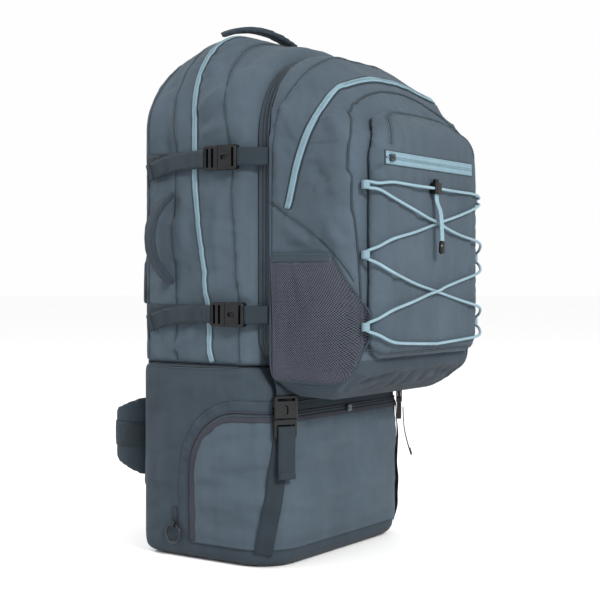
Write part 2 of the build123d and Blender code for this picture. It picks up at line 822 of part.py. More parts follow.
tilt = atan2(PACK_TOP - REAR_TOP, PACK_REAR - SLOPE_START)
lifter_plane = Plane(origin=(66, 80, 712.6), x_dir=(0, cos(tilt), -sin(tilt)), z_dir=(0, sin(tilt), cos(tilt)))
lifter_buckle = placed(make_ladder_lock(20), lifter_plane)
export(as_one(lifter_buckle, mirrored(lifter_buckle)), "lifter_buckles")

# --- sternum strap, unclipped -------------------------------------------------------------
with BuildPart() as sternum_strap:
    with Locations((53, STERNUM_Y, STERNUM_Z)):
        Box(26, WEB_THICK, 20)
export(sternum_strap.part, "sternum_strap_right")
export(mirrored(sternum_strap.part), "sternum_strap_left")

sternum_plug = Plane(origin=(18.6, STERNUM_Y, STERNUM_Z), x_dir=(-1, 0, 0), z_dir=(0, 1, 0))
export(placed(make_plug(20), sternum_plug), "sternum_plug")
sternum_socket = Plane(origin=(-13.6, STERNUM_Y, STERNUM_Z), x_dir=(-1, 0, 0), z_dir=(0, 1, 0))
export(placed(make_socket(20), sternum_socket), "sternum_socket")

# --- hip belt, unclipped ------------------------------------------------------------------
hip_wing = make_hip_wing()
export(hip_wing, "hip_wing_right")
export(mirrored(hip_wing), "hip_wing_left")

hip_webbing = make_hip_webbing()
export(hip_webbing, "hip_webbing_right")
export(mirrored(hip_webbing), "hip_webbing_left")

hip_plug = Plane(origin=(43.2, HIP_BUCKLE_Y, 152), x_dir=(-1, 0, 0), z_dir=(0, 1, 0))
export(placed(make_plug(38), hip_plug), "hip_plug")
hip_socket = Plane(origin=(-34.6, HIP_BUCKLE_Y, 152), x_dir=(-1, 0, 0), z_dir=(0, 1, 0))
export(placed(make_socket(38), hip_socket), "hip_socket")

# --- handles and gear rings ---------------------------------------------------------------
top_handle = make_handle(TOP_HANDLE["span"], TOP_HANDLE["rise"], TOP_HANDLE["width"])
export(placed(top_handle, Plane(origin=(0, TOP_HANDLE["y"], TOP_HANDLE["z"]))), "top_handle")

side_handle = make_handle(SIDE_HANDLE["span"], SIDE_HANDLE["rise"], SIDE_HANDLE["width"])
lean = radians(SIDE_HANDLE["lean"])
for name, side in SIDES.items():
    foot = (side * SIDE_HANDLE["x"], SIDE_HANDLE["y"], SIDE_HANDLE["z"])
    upright = Plane(origin=foot, x_dir=(0, 0, 1), z_dir=(side * cos(lean), sin(lean), 0))
    export(placed(side_handle, upright), f"side_handle_{name}")
    export(make_gear_ring(side), f"gear_ring_{name}")

# --- straps and buckles between the two bags ----------------------------------------------
socket = make_socket(WEBBING)
plug = make_plug(WEBBING)
sockets = []
tabs = []
straps = []
for name, side in SIDES.items():
    for level, (height, mouth_y) in STRAPS.items():
        plane = side_buckle_plane(side, height, mouth_y)
        sockets.append(placed(socket, plane))
        tabs.append(make_side_tab(side, height, mouth_y))
        straps.append(make_compression_strap(side, height, mouth_y))
        export(placed(plug, plane), f"{level}_plug_{name}")
    base_plane = base_strap_plane(side, BASE_BUCKLE_OUT, BASE_BUCKLE_Z)
    sockets.append(placed(socket, base_plane))
    tabs.append(make_base_tab(side))
    export(placed(plug, base_plane), f"base_plug_{name}")
    export(make_base_tail(side), f"base_tail_{name}")
export(as_one(*sockets), "buckle_sockets")
export(as_one(*tabs), "daypack_tabs")
export(as_one(*straps), "compression_straps")

base_webbing = [make_base_strap(side) for side in SIDES.values()]
base_webbing += [make_ring_loop(side) for side in SIDES.values()]
export(as_one(*base_webbing), "base_webbing")

# --- daypack ------------------------------------------------------------------------------
daypack = make_daypack_compartment()
export(daypack, "daypack_compartment")
export(make_front_pocket(daypack), "front_pocket")
for name, side in SIDES.items():
    export(make_mesh_pocket(side), f"mesh_pocket_{name}")
export(make_daypack_tape(), "daypack_zip")
export(make_attach_tape(PACK_FRONT - 6.1, DAY_REAR - 5.8), "joining_zip_front")
export(make_pocket_zip(), "pocket_zip")
export(make_bungee(), "bungee_cord")
export(make_bungee_tail(), "bungee_tail")
export(make_bungee_loops(), "bungee_loops")
export(make_lock_body(), "cord_lock_body")
export(make_lock_plunger(), "cord_lock_plunger")

# --- zip sliders --------------------------------------------------------------------------
slider = make_slider(1.4)
tape_x = PACK_HALF + TAPE_THICK + GAP
(low_y, low_z), (high_y, high_z) = MAIN_TAPE[1:3]
zip_rise = (high_y - low_y) / (high_z - low_z)
for name, height in {"upper": 447.0, "lower": 433.0}.items():
    tape_y = low_y + (height - low_z) * zip_rise - TAPE_WIDTH / 2
    on_flank = Plane(origin=(tape_x, tape_y, height), x_dir=(0, zip_rise, 1), z_dir=(1, 0, 0))
    export(placed(slider, on_flank), f"main_zip_slider_{name}")

on_base = Plane(origin=(0, BASE_FRONT - FLAP_THICK - GAP, FLAP_HIGH + 3.4), x_dir=(1, 0, 0), z_dir=(0, -1, 0))
export(placed(slider, on_base), "base_zip_slider")

zip_lean = radians(ZIP_LEAN)
on_daypack = Plane(
    origin=(DAY_HALF + TAPE_THICK + GAP, -150.3, 520),
    x_dir=(0, -sin(zip_lean), cos(zip_lean)),
    z_dir=(1, 0, 0),
)
export(placed(slider, on_daypack), "daypack_zip_slider")

on_pocket = Plane(origin=(ZIP_X[0] + 12, POCKET_FRONT - 1.2, ZIP_Z), x_dir=(1, 0, 0), z_dir=(0, -1, 0))
export(placed(slider, on_pocket), "pocket_zip_slider")
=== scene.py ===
"""The look of the travel backpack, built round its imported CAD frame. Lengths in the code are
millimetres until they reach Blender, which gets metres. Heights are measured from the same datum
as in the CAD source, 12 mm above the floor."""

from math import cos, pi, radians, sin, sqrt

import bmesh
import bpy
import numpy as np
from mathutils import Matrix, Vector, noise
from mathutils.bvhtree import BVHTree


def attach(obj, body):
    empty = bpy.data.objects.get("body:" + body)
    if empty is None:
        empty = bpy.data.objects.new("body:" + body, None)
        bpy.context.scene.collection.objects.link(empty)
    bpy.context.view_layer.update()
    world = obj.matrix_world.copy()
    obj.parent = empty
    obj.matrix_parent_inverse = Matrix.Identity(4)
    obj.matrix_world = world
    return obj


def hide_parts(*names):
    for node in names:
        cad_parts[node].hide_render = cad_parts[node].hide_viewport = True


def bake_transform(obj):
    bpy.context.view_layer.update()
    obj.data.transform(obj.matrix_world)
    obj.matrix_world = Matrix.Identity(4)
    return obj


MM = 0.001
DATUM = Vector((0, 0, 12.0))
DATUM_ROW = np.array(DATUM)
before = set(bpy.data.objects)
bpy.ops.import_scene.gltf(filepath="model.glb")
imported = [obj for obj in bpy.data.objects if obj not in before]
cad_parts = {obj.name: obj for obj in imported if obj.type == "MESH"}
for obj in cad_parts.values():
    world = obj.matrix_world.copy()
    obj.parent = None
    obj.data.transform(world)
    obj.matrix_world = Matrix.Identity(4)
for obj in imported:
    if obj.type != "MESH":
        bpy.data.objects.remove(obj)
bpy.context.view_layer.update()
scene = bpy.context.scene
SIDES = {"left": -1, "right": 1}


# --- camera, floor and light ----------------------------------------------------------------
CAMERA_AT = (-1.531, -1.111, 0.394)
CAMERA_TARGET = (0.020, -0.028, 0.364)
LENS = 75.1
EXPOSURE = 0.5
SKY = 0.7  # strength of the even white light
PAPER = 0.97  # how white the floor is


def added(name, data):
    """A new object in the scene."""
    piece = bpy.data.objects.new(name, data)
    scene.collection.objects.link(piece)
    return piece


def look_at(obj, target):
    obj.rotation_euler = (Vector(target) - obj.location).to_track_quat("-Z", "Y").to_euler()


def make_camera():
    data = bpy.data.cameras.new("camera")
    data.lens = LENS
    data.sensor_width = 36
    camera = added("camera", data)
    camera.location = CAMERA_AT
    look_at(camera, CAMERA_TARGET)
    scene.camera = camera


def area_light(name, place, target, size, power, tint=(1, 1, 1)):
    data = bpy.data.lights.new(name, "AREA")
    data.shape = "DISK"
    data.size = size
    data.energy = power
    data.color = tint
    lamp = added(name, data)
    lamp.location = place
    look_at(lamp, target)


def make_studio():
    mesh = bpy.data.meshes.new("floor")
    floor = added("floor", mesh)
    shape = bmesh.new()
    bmesh.ops.create_circle(shape, cap_ends=True, radius=30, segments=64)
    shape.to_mesh(mesh)
    shape.free()
    paper = bpy.data.materials.new("studio_floor")
    paper.use_nodes = True
    finish = paper.node_tree.nodes["Principled BSDF"].inputs
    finish["Base Color"].default_value = (PAPER, PAPER, PAPER, 1)
    finish["Roughness"].default_value = 0.9
    mesh.materials.append(paper)
    world = bpy.data.worlds.new("studio")
    world.use_nodes = True
    sky = world.node_tree.nodes["Background"].inputs
    sky["Color"].default_value = (1, 1, 1, 1)
    sky["Strength"].default_value = SKY
    scene.world = world
    area_light("key", (-1.25, -2.75, 1.9), (0, -0.1, 0.4), 0.7, 78, (1, 0.99, 0.97))
    area_light("side", (-1.9, 1.6, 2.3), (0, 0, 0.4), 0.6, 14)
    area_light("back", (-0.6, 2.4, 1.8), (0, 0, 0.4), 1.5, 20)
    scene.view_settings.view_transform = "Standard"
    scene.view_settings.exposure = EXPOSURE


# --- material helpers -----------------------------------------------------------------------
class Shader:
    """A node material, with a short way to add and link nodes."""

    def __init__(self, name):
        self.material = bpy.data.materials.new(name)
        self.material.use_nodes = True
        self.tree = self.material.node_tree
        self.bsdf = self.tree.nodes["Principled BSDF"]
        self.place = self.add("ShaderNodeTexCoord").outputs["Object"]

    def add(self, kind, **settings):
        node = self.tree.nodes.new(kind)
        for key, value in settings.items():
            setattr(node, key, value)
        return node

    def link(self, output, socket):
        self.tree.links.new(output, socket)

    def value(self, name, amount):
        self.bsdf.inputs[name].default_value = amount

    def math(self, operation, a, b=None):
        node = self.add("ShaderNodeMath", operation=operation)
        for socket, item in zip(node.inputs, (a, b)):
            if item is None:
                continue
            if isinstance(item, (int, float)):
                socket.default_value = item
            else:
                self.link(item, socket)
        return node.outputs[0]

    def noise(self, scale, detail=3.0, rough=0.5, stretch=(1, 1, 1)):
        mapping = self.add("ShaderNodeMapping")
        mapping.inputs["Scale"].default_value = stretch
        self.link(self.place, mapping.inputs["Vector"])
        node = self.add("ShaderNodeTexNoise")
        node.inputs["Scale"].default_value = scale
        node.inputs["Detail"].default_value = detail
        node.inputs["Roughness"].default_value = rough
        self.link(mapping.outputs[0], node.inputs["Vector"])
        return node.outputs["Fac"]

    def ramp(self, factor, *stops):
        node = self.add("ShaderNodeValToRGB")
        ends = node.color_ramp.elements
        while len(ends) < len(stops):
            ends.new(0.5)
        for end, (position, colour) in zip(ends, stops):
            end.position = position
            end.color = (*colour, 1)
        self.link(factor, node.inputs["Fac"])
        return node.outputs["Color"]

    def multiply(self, colour, factor_colour):
        node = self.add("ShaderNodeMix", data_type="RGBA", blend_type="MULTIPLY")
        node.inputs["Factor"].default_value = 1.0
        self.link(colour, node.inputs["A"])
        self.link(factor_colour, node.inputs["B"])
        return node.outputs["Result"]

    def grey(self, factor, low, high):
        """A grey ramp between two stops, each (position, level)."""
        return self.ramp(factor, *[(position, (level,) * 3) for position, level in (low, high)])

    def feed(self, output, name):
        self.link(output, self.bsdf.inputs[name])

    def bump(self, height, strength, distance_mm):
        node = self.add("ShaderNodeBump")
        node.inputs["Strength"].default_value = strength
        node.inputs["Distance"].default_value = distance_mm * MM
        self.link(height, node.inputs["Height"])
        self.link(node.outputs["Normal"], self.bsdf.inputs["Normal"])

    def axes(self):
        node = self.add("ShaderNodeSeparateXYZ")
        self.link(self.place, node.inputs[0])
        return node.outputs

    def threads(self, pitch_mm):
        """A plain weave: warp and weft waves, 0 to 1, that follow the upright faces of a bag."""
        x, y, z = self.axes()
        turn = 2 * pi / (pitch_mm * MM)
        across = self.math("SINE", self.math("MULTIPLY", self.math("SUBTRACT", x, y), turn))
        up = self.math("SINE", self.math("MULTIPLY", z, turn))
        woven = self.math("MULTIPLY", across, up)
        return self.math("ADD", self.math("MULTIPLY", woven, 0.5), 0.5)


def shade(colour, factor):
    return tuple(min(1.0, c * factor) for c in colour)


def woven(name, colour, pitch=1.1, bump=0.35, blotch=0.12):
    """Woven cloth: threads, cloudy shade changes and faint worn streaks."""
    s = Shader(name)
    weave = s.threads(pitch)
    base = s.ramp(weave, (0.0, shade(colour, 0.84)), (1.0, shade(colour, 1.16)))
    clouds = s.noise(9.0, 4.0, 0.55)
    base = s.multiply(base, s.grey(clouds, (0.3, 1 - blotch), (0.7, 1 + blotch)))
    streaks = s.noise(60.0, 3.0, 0.6, (1, 1, 0.12))
    base = s.multiply(base, s.grey(streaks, (0.3, 0.94), (0.75, 1.06)))
    s.feed(base, "Base Color")
    s.feed(s.grey(s.noise(25.0), (0.3, 0.76), (0.7, 0.9)), "Roughness")
    s.value("Sheen Weight", 0.03)
    s.value("Sheen Roughness", 0.45)
    s.value("Specular IOR Level", 0.13)
    grain = s.math("ADD", s.math("MULTIPLY", weave, 0.7), s.math("MULTIPLY", s.noise(420.0, 2.0), 0.5))
    s.bump(grain, bump, 0.35)
    return s.material


def ribbed(name, colour, pitch=1.5, rough=0.7):
    """Narrow-woven webbing: fine ribs and a soft herringbone."""
    s = Shader(name)
    x, y, z = s.axes()
    turn = 2 * pi / (pitch * MM)
    total = s.math("ADD", s.math("ADD", x, y), z)
    cross = s.math("SUBTRACT", s.math("SUBTRACT", x, y), z)
    first = s.math("SINE", s.math("MULTIPLY", total, turn))
    second = s.math("SINE", s.math("MULTIPLY", cross, turn))
    ribs = s.math("ADD", s.math("MULTIPLY", s.math("MULTIPLY", first, second), 0.5), 0.5)
    base = s.ramp(ribs, (0.0, shade(colour, 0.75)), (1.0, shade(colour, 1.2)))
    s.feed(s.multiply(base, s.grey(s.noise(30.0), (0.3, 0.9), (0.7, 1.08))), "Base Color")
    s.value("Roughness", rough)
    s.value("Sheen Weight", 0.03)
    s.value("Specular IOR Level", 0.15)
    s.bump(ribs, 0.4, 0.4)
    return s.material


def moulded(name, colour, rough):
    """Injection-moulded plastic: fine spark texture and faint scuffs."""
    s = Shader(name)
    tone = s.noise(18.0, 3.0)
    s.feed(s.ramp(tone, (0.3, shade(colour, 0.8)), (0.75, shade(colour, 1.35))), "Base Color")
    scuffs = s.noise(140.0, 4.0, 0.65)
    s.feed(s.grey(scuffs, (0.35, rough - 0.08), (0.7, rough + 0.14)), "Roughness")
    s.value("Specular IOR Level", 0.28)
    s.bump(s.noise(900.0, 2.0), 0.25, 0.15)
    return s.material


def metal(name, colour):
    """Brushed metal, drawn out along Z."""
    s = Shader(name)
    tone = s.noise(60.0, 3.0, 0.6, (1, 1, 0.05))
    s.feed(s.ramp(tone, (0.3, shade(colour, 0.8)), (0.7, shade(colour, 1.15))), "Base Color")
    s.feed(s.grey(s.noise(200.0), (0.3, 0.35), (0.7, 0.5)), "Roughness")
    s.value("Metallic", 1.0)
    s.bump(s.noise(500.0), 0.1, 0.1)
    return s.material


def spacer_mesh(name, colour, pitch=3.4):
    """Knitted spacer fabric: a honeycomb of small dark pits."""
    s = Shader(name)
    cells = s.add("ShaderNodeTexVoronoi", feature="F1")
    cells.inputs["Scale"].default_value = 1 / (pitch * MM)
    cells.inputs["Randomness"].default_value = 0.35
    s.link(s.place, cells.inputs["Vector"])
    distance = cells.outputs["Distance"]
    pits = s.grey(distance, (0.18, 0.0), (0.5, 1.0))
    colours = s.ramp(distance, (0.15, shade(colour, 0.35)), (0.45, shade(colour, 1.15)))
    s.feed(s.multiply(colours, s.grey(s.noise(14.0), (0.3, 0.88), (0.7, 1.1))), "Base Color")
    s.value("Roughness", 0.85)
    s.value("Sheen Weight", 0.15)
    s.bump(pits, 0.7, 0.8)
    return s.material


SLATE = (0.048, 0.067, 0.0855)  # the bag's main cloth
make_camera()
make_studio()
MATERIALS = {
    "bag": woven("bag_cloth", SLATE),
    "base": woven("base_cloth", shade(SLATE, 0.60)),
    # dark cloth: the joining zip's tapes, painted shade inside the mesh pockets, and painted shadow along the
    # daypack's zip and the base flap's edge
    "dark": woven("dark_tape_and_painted_shade", shade(SLATE, 0.42), pitch=0.9),
    "binding": ribbed("binding_tape", shade(SLATE, 0.55), 1.2),
    "piping": ribbed("piping_cloth", (0.045, 0.060, 0.074), 1.0),
    "webbing": ribbed("webbing_cloth", (0.015, 0.0235, 0.030), 1.6),
    "pad": woven("padded_cloth", (0.024, 0.034, 0.045), pitch=1.3, bump=0.5),
    "accent": ribbed("accent_cloth", (0.155, 0.235, 0.28), 1.4),
    "stripe": woven("stripe_tape", (0.150, 0.228, 0.275), pitch=0.8, blotch=0.05),
    "elastic": ribbed("elastic_cord", (0.19, 0.285, 0.335), 1.3, 0.6),
    "thread": ribbed("dark_thread", (0.055, 0.072, 0.088), 0.8),
    "plastic": moulded("buckle_plastic", (0.0035, 0.004, 0.0048), 0.34),
    "slider": metal("slider_metal", (0.09, 0.11, 0.125)),
    "ring": moulded("ring_plastic", (0.015, 0.016, 0.018), 0.3),
    "spacer": spacer_mesh("spacer_fabric", (0.055, 0.062, 0.072)),
    "alloy": metal("stay_alloy", (0.70, 0.70, 0.72)),
    "sheet": moulded("frame_sheet_plastic", (0.03, 0.03, 0.032), 0.5),
    "lining": woven("mesh_cloth", (0.030, 0.032, 0.042), pitch=0.9),
    "net": woven("net_thread", (0.088, 0.094, 0.122), pitch=0.7),
}


# --- geometry helpers -----------------------------------------------------------------------
def vec(point):
    """A point in metres, in the shared frame."""
    return (Vector(point) + DATUM) * MM


def unvec(point):
    return tuple(Vector(point) / MM - DATUM)


def mesh_piece(name, verts, faces, material, smooth=True):
    mesh = bpy.data.meshes.new(name)
    mesh.from_pydata([tuple(v) for v in verts], [], faces)
    mesh.materials.append(MATERIALS[material])
    if smooth:
        mesh.shade_smooth()
    return added(name, mesh)


def settle(piece, body, slot, *nodes):
    """The piece rides on a body and may stand for CAD nodes, which are hidden. The slot is not used."""
    if nodes:
        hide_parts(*nodes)
    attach(piece, body)
    return piece


def curve_through(points, spacing):
    """Evenly spaced points on a smooth curve through the given ones."""
    ends = [2 * points[0] - points[1], *points, 2 * points[-1] - points[-2]]
    dense = []
    for a, b, c, d in zip(ends, ends[1:], ends[2:], ends[3:]):
        for i in range(16):
            t = i / 16
            bend = (2 * a - 5 * b + 4 * c - d) * t**2 + (3 * b - a - 3 * c + d) * t**3
            dense.append(0.5 * (2 * b + (c - a) * t + bend))
    dense.append(points[-1])
    return spaced(dense, spacing)


def spaced(points, spacing):
    lengths = [0.0]
    for a, b in zip(points, points[1:]):
        lengths.append(lengths[-1] + (b - a).length)
    count = max(2, round(lengths[-1] / (spacing * MM)) + 1)
    result = []
    k = 0
    for i in range(count):
        want = lengths[-1] * i / (count - 1)
        while k < len(lengths) - 2 and lengths[k + 1] < want:
            k += 1
        step = lengths[k + 1] - lengths[k]
        t = (want - lengths[k]) / step if step > 0 else 0
        result.append(points[k].lerp(points[k + 1], min(1, max(0, t))))
    return result


def tangents(points):
    result = []
    for i in range(len(points)):
        a = points[max(0, i - 1)]
        b = points[min(len(points) - 1, i + 1)]
        result.append((b - a).normalized())
    return result


def smooth_vectors(vectors, rounds):
    for _ in range(rounds):
        copy = [v.copy() for v in vectors]
        for i in range(1, len(vectors) - 1):
            copy[i] = (vectors[i - 1] + vectors[i] * 2 + vectors[i + 1]) / 4
        vectors = copy
    return vectors


class Surface:
    """The outside of some shells, for laying trims on it."""

    def __init__(self, *pieces):
        verts = []
        faces = []
        for piece in pieces:
            first = len(verts)
            verts += [v.co.copy() for v in piece.data.vertices]
            faces += [[first + i for i in p.vertices] for p in piece.data.polygons]
        self.tree = BVHTree.FromPolygons(verts, faces)

    def drop(self, point):
        place, normal, _, _ = self.tree.find_nearest(point)
        return place, normal

    def lay(self, points, spacing=5.0, lift=0.0, smooth=2):
        """A smooth line on the surface near the given points: places and outward normals."""
        guide = curve_through([vec(p) for p in points], spacing)
        hits = [self.drop(p) for p in guide]
        normals = smooth_vectors([n for _, n in hits], 3 + smooth)
        places = smooth_vectors([p for p, _ in hits], smooth)
        normals = [n.normalized() for n in normals]
        return [p + n * lift * MM for p, n in zip(places, normals)], normals


def tube(name, points, radius, material, sides):
    """A round tube of even thickness along a line of points."""
    along = tangents(points)
    verts = []
    faces = []
    up = along[0].orthogonal().normalized()
    for p, t in zip(points, along):
        up = (up - t * up.dot(t)).normalized()
        side = t.cross(up)
        for k in range(sides):
            a = 2 * pi * k / sides
            verts.append(p + (up * cos(a) + side * sin(a)) * radius * MM)
    for i in range(len(points) - 1):
        for k in range(sides):
            n = (k + 1) % sides
            faces.append((i * sides + k, i * sides + n, (i + 1) * sides + n, (i + 1) * sides + k))
    faces.append(tuple(reversed(range(sides))))
    faces.append(tuple(range(len(verts) - sides, len(verts))))
    return mesh_piece(name, verts, faces, material)


def strip(name, points, normals, width, thick, material, surface=None, lift=0.3, columns=6, closed=False):
    """A flat tape: a row of columns across the line, laid on the surface if there is one."""
    along = tangents(points)
    verts = []
    faces = []
    half = width * MM / 2
    ring = 2 * (columns + 1)
    for p, n, t in zip(points, normals, along):
        side = t.cross(n).normalized()
        tops = []
        lows = []
        for k in range(columns + 1):
            u = 2 * k / columns - 1
            q = p + side * half * u
            if surface:
                hit, _ = surface.drop(q)
                level = max(0.0, (hit - q).dot(n) + lift * MM)
                q = q + n * level
            edge = 1 - 0.35 * abs(u) ** 8
            tops.append(q + n * thick * MM * edge)
            lows.append(q)
        verts += tops + lows[::-1]
    rows = len(points)
    last = rows if closed else rows - 1
    for i in range(last):
        j = (i + 1) % rows
        for k in range(ring):
            m = (k + 1) % ring
            faces.append((i * ring + k, i * ring + m, j * ring + m, j * ring + k))
    if not closed:
        faces.append(tuple(range(ring)))
        faces.append(tuple(reversed(range((rows - 1) * ring, rows * ring))))
    piece = mesh_piece(name, verts, faces, material)
    fix_normals(piece)
    return piece


def fix_normals(piece):
    shape = bmesh.new()
    shape.from_mesh(piece.data)
    bmesh.ops.recalc_face_normals(shape, faces=shape.faces)
    shape.to_mesh(piece.data)
    shape.free()


BLOCK = [(x, y, z) for x in (-1, 1) for y in (-1, 1) for z in (-1, 1)]
BLOCK_FACES = [(0, 1, 3, 2), (4, 6, 7, 5), (0, 4, 5, 1), (2, 3, 7, 6), (0, 2, 6, 4), (1, 5, 7, 3)]


def blocks(name, placed, material):
    """Many small blocks in one mesh, each (centre, three half-length vectors)."""
    verts = []
    faces = []
    for centre, a, b, c in placed:
        first = len(verts)
        for x, y, z in BLOCK:
            verts.append(centre + a * x + b * y + c * z)
        faces += [tuple(first + i for i in face) for face in BLOCK_FACES]
    piece = mesh_piece(name, verts, faces, material, smooth=False)
    fix_normals(piece)
    return piece


def stitches(points, normals, offset=0.0, length=2.6, gap=1.5, lift=0.25):
    """Thread stitches beside a line, as blocks' placements."""
    line = points
    if offset:
        across = [t.cross(n).normalized() for n, t in zip(normals, tangents(points))]
        line = [p + side * offset * MM for p, side in zip(points, across)]
    total = sum((b - a).length for a, b in zip(line, line[1:])) / MM
    count = int(total / (length + gap))
    result = []
    fine = spaced(line, (length + gap) / 4)
    along = tangents(fine)
    for i in range(count):
        k = min(len(fine) - 1, i * 4 + 2)
        n = normals[min(len(normals) - 1, round(k / (len(fine) - 1) * (len(normals) - 1)))]
        t = along[k]
        side = t.cross(n).normalized()
        result.append((fine[k] + n * lift * MM, t * length / 2 * MM, side * 0.32 * MM, n * 0.28 * MM))
    return result


def teeth(points, normals, pitch, half_width, height):
    """The coil of a zip: short bars across the line."""
    fine = spaced(points, pitch)
    along = tangents(fine)
    result = []
    for i, (p, t) in enumerate(zip(fine, along)):
        n = normals[min(len(normals) - 1, round(i / (len(fine) - 1) * (len(normals) - 1)))]
        side = t.cross(n).normalized()
        shift = side * (0.35 * MM if i % 2 else -0.35 * MM)
        result.append((p + n * height * MM + shift, t * 0.48 * MM, side * half_width * MM, n * height * MM))
    return result


# --- soft shells ----------------------------------------------------------------------------
def rows_of(items, name):
    """One row of three numbers for each vertex or face."""
    flat = np.empty(len(items) * 3)
    items.foreach_get(name, flat)
    return flat.reshape(-1, 3)


def places(piece):
    return rows_of(piece.data.vertices, "co") / MM - DATUM_ROW


def put(piece, points):
    piece.data.vertices.foreach_set("co", ((points + DATUM_ROW) * MM).ravel())
    piece.data.update()


def outward(piece):
    return rows_of(piece.data.vertices, "normal")


def modify(piece, kind, **settings):
    modifier = piece.modifiers.new(kind.lower(), kind)
    for key, value in settings.items():
        setattr(modifier, key, value)
    return modifier


def baked(piece):
    bpy.context.view_layer.update()
    graph = bpy.context.evaluated_depsgraph_get()
    mesh = bpy.data.meshes.new_from_object(piece.evaluated_get(graph))
    piece.modifiers.clear()
    piece.data = mesh
    return piece


def remeshed(name, node, voxel, material, relax=5):
    """A copy of a CAD node's mesh, made of even squares and with softened edges."""
    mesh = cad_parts[node].data.copy()
    mesh.materials.clear()
    piece = added(name, mesh)
    modify(piece, "REMESH", mode="VOXEL", voxel_size=voxel * MM)
    modify(piece, "SMOOTH", factor=0.5, iterations=relax)
    baked(piece)
    piece.data.materials.clear()
    piece.data.materials.append(MATERIALS[material])
    return piece


def ease(values, low, high):
    t = np.clip((values - low) / (high - low), 0, 1)
    return t * t * (3 - 2 * t)


def line_distance(points, route):
    """Each point's distance from a polyline, and how far along the polyline that is, 0 to 1."""
    best = np.full(len(points), 1e9)
    along = np.zeros(len(points))
    steps = np.linalg.norm(np.diff(route, axis=0), axis=1)
    total = steps.sum()
    passed = 0.0
    for a, b, step in zip(route, route[1:], steps):
        t = np.clip((points - a) @ (b - a) / max(step * step, 1e-9), 0, 1)
        gap = np.linalg.norm(points - a - t[:, None] * (b - a), axis=1)
        nearer = gap < best
        best[nearer] = gap[nearer]
        along[nearer] = (passed + t[nearer] * step) / total
        passed += step
    return best, along


def smooth_route(points):
    return np.array([unvec(p) for p in curve_through([vec(p) for p in points], 6)])


def raise_lines(piece, lines):
    """Lifts the cloth into folds, or sinks it into seams, along lines. Each line is its points,
    height, half-width and whether it fades out towards its ends."""
    points = places(piece)
    change = np.zeros(len(points))
    for route, height, width, fades in lines:
        route = smooth_route(route)
        low, high = route.min(axis=0) - 3 * width, route.max(axis=0) + 3 * width
        near = np.all((points > low) & (points < high), axis=1)
        if not near.any():
            continue
        gap, along = line_distance(points[near], route)
        lift = height * np.exp(-((gap / width) ** 2))
        if fades:
            lift *= np.sin(np.pi * np.clip(along, 0, 1)) ** 0.6
        change[near] += lift
    put(piece, points + outward(piece) * change[:, None])


def rumple(piece, height, scale, weight, seed=0.0):
    """Soft uneven waves, scale being (x, y, z) waves per metre and weight 0 to 1 per point."""
    points = places(piece)
    change = np.zeros(len(points))
    for i in np.nonzero(weight > 0.01)[0]:
        x, y, z = points[i] * MM
        where = Vector((x * scale[0] + seed, y * scale[1] - seed, z * scale[2] + 2 * seed))
        change[i] = noise.noise(where) + 0.45 * noise.noise(where * 2.3)
    put(piece, points + outward(piece) * (change * weight * height)[:, None])


CLOTH = {
    "quality": 5, "mass": 0.3, "bending_stiffness": 0.3,
    "use_pressure": True, "uniform_pressure_force": 4.0, "vertex_group_mass": "held",
}
CLOTH_STEPS = 20
SIDEWAYS = 4.0  # the furthest that a point slides along the cloth


def swell(jobs):
    """Blows each shell up as cloth. A job is a shell, how firmly each point is held, 0 to 1, how
    far a point may move out and in, and how much larger the cloth is cut."""
    starts = []
    for piece, held, out, inside, slack in jobs:
        starts.append((places(piece), outward(piece)))
        group = piece.vertex_groups.new(name="held")
        for level in range(1, 11):
            chosen = np.nonzero(np.round(held * 10) == level)[0].tolist()
            if chosen:
                group.add(chosen, level / 10, "REPLACE")
        cloth = modify(piece, "CLOTH")
        for key, value in CLOTH.items():
            setattr(cloth.settings, key, value)
        cloth.settings.shrink_min = -slack
        cloth.settings.effector_weights.gravity = 0.0
        cloth.point_cache.frame_end = CLOTH_STEPS
    for step in range(1, CLOTH_STEPS + 1):
        scene.frame_set(step)
    graph = bpy.context.evaluated_depsgraph_get()
    for (piece, held, out, inside, slack), (start, normals) in zip(jobs, starts):
        shape = piece.evaluated_get(graph).to_mesh()
        move = rows_of(shape.vertices, "co") / MM - DATUM_ROW - start
        up = np.sum(move * normals, axis=1)
        side = move - normals * up[:, None]
        length = np.linalg.norm(side, axis=1)
        side *= (np.minimum(length, SIDEWAYS) / np.maximum(length, 1e-6))[:, None]
        soft = np.where(up > 0, out * np.tanh(up / out), inside * np.tanh(up / inside))
        piece.evaluated_get(graph).to_mesh_clear()
        piece.modifiers.clear()
        piece.vertex_groups.clear()
        put(piece, start + side + normals * soft[:, None])
    scene.frame_set(1)


def refine(piece):
    modify(piece, "SUBSURF", levels=1, render_levels=1)
    baked(piece)
    piece.data.shade_smooth()


def box_hold(points, centre, half, soft):
    """1 inside a box and 0 well outside it."""
    gap = np.max(np.abs(points - np.array(centre)) - np.array(half), axis=1)
    return 1 - ease(gap, 0, soft)


def paint(piece, material, chosen):
    """Gives another material to the faces whose middle, as x, y and z, the rule picks."""
    index = len(piece.data.materials)
    piece.data.materials.append(MATERIALS[material])
    picked = chosen(*(rows_of(piece.data.polygons, "center") / MM - DATUM_ROW).T)
    kept = np.empty(len(piece.data.polygons), dtype=np.int32)
    piece.data.polygons.foreach_get("material_index", kept)
    kept[picked] = index
    piece.data.polygons.foreach_set("material_index", kept)


BUCKLE_AT = {"upper": (550.0, -34.0), "lower": (335.0, -46.0)}  # height, and y of the buckle's mouth
FLANK = 174  # half the main bag's width
BASE_FLANK = 178
DAY_FLANK = 165
POCKET_Y = -270  # the front pocket's face
POCKET_ZIP_Z = 542

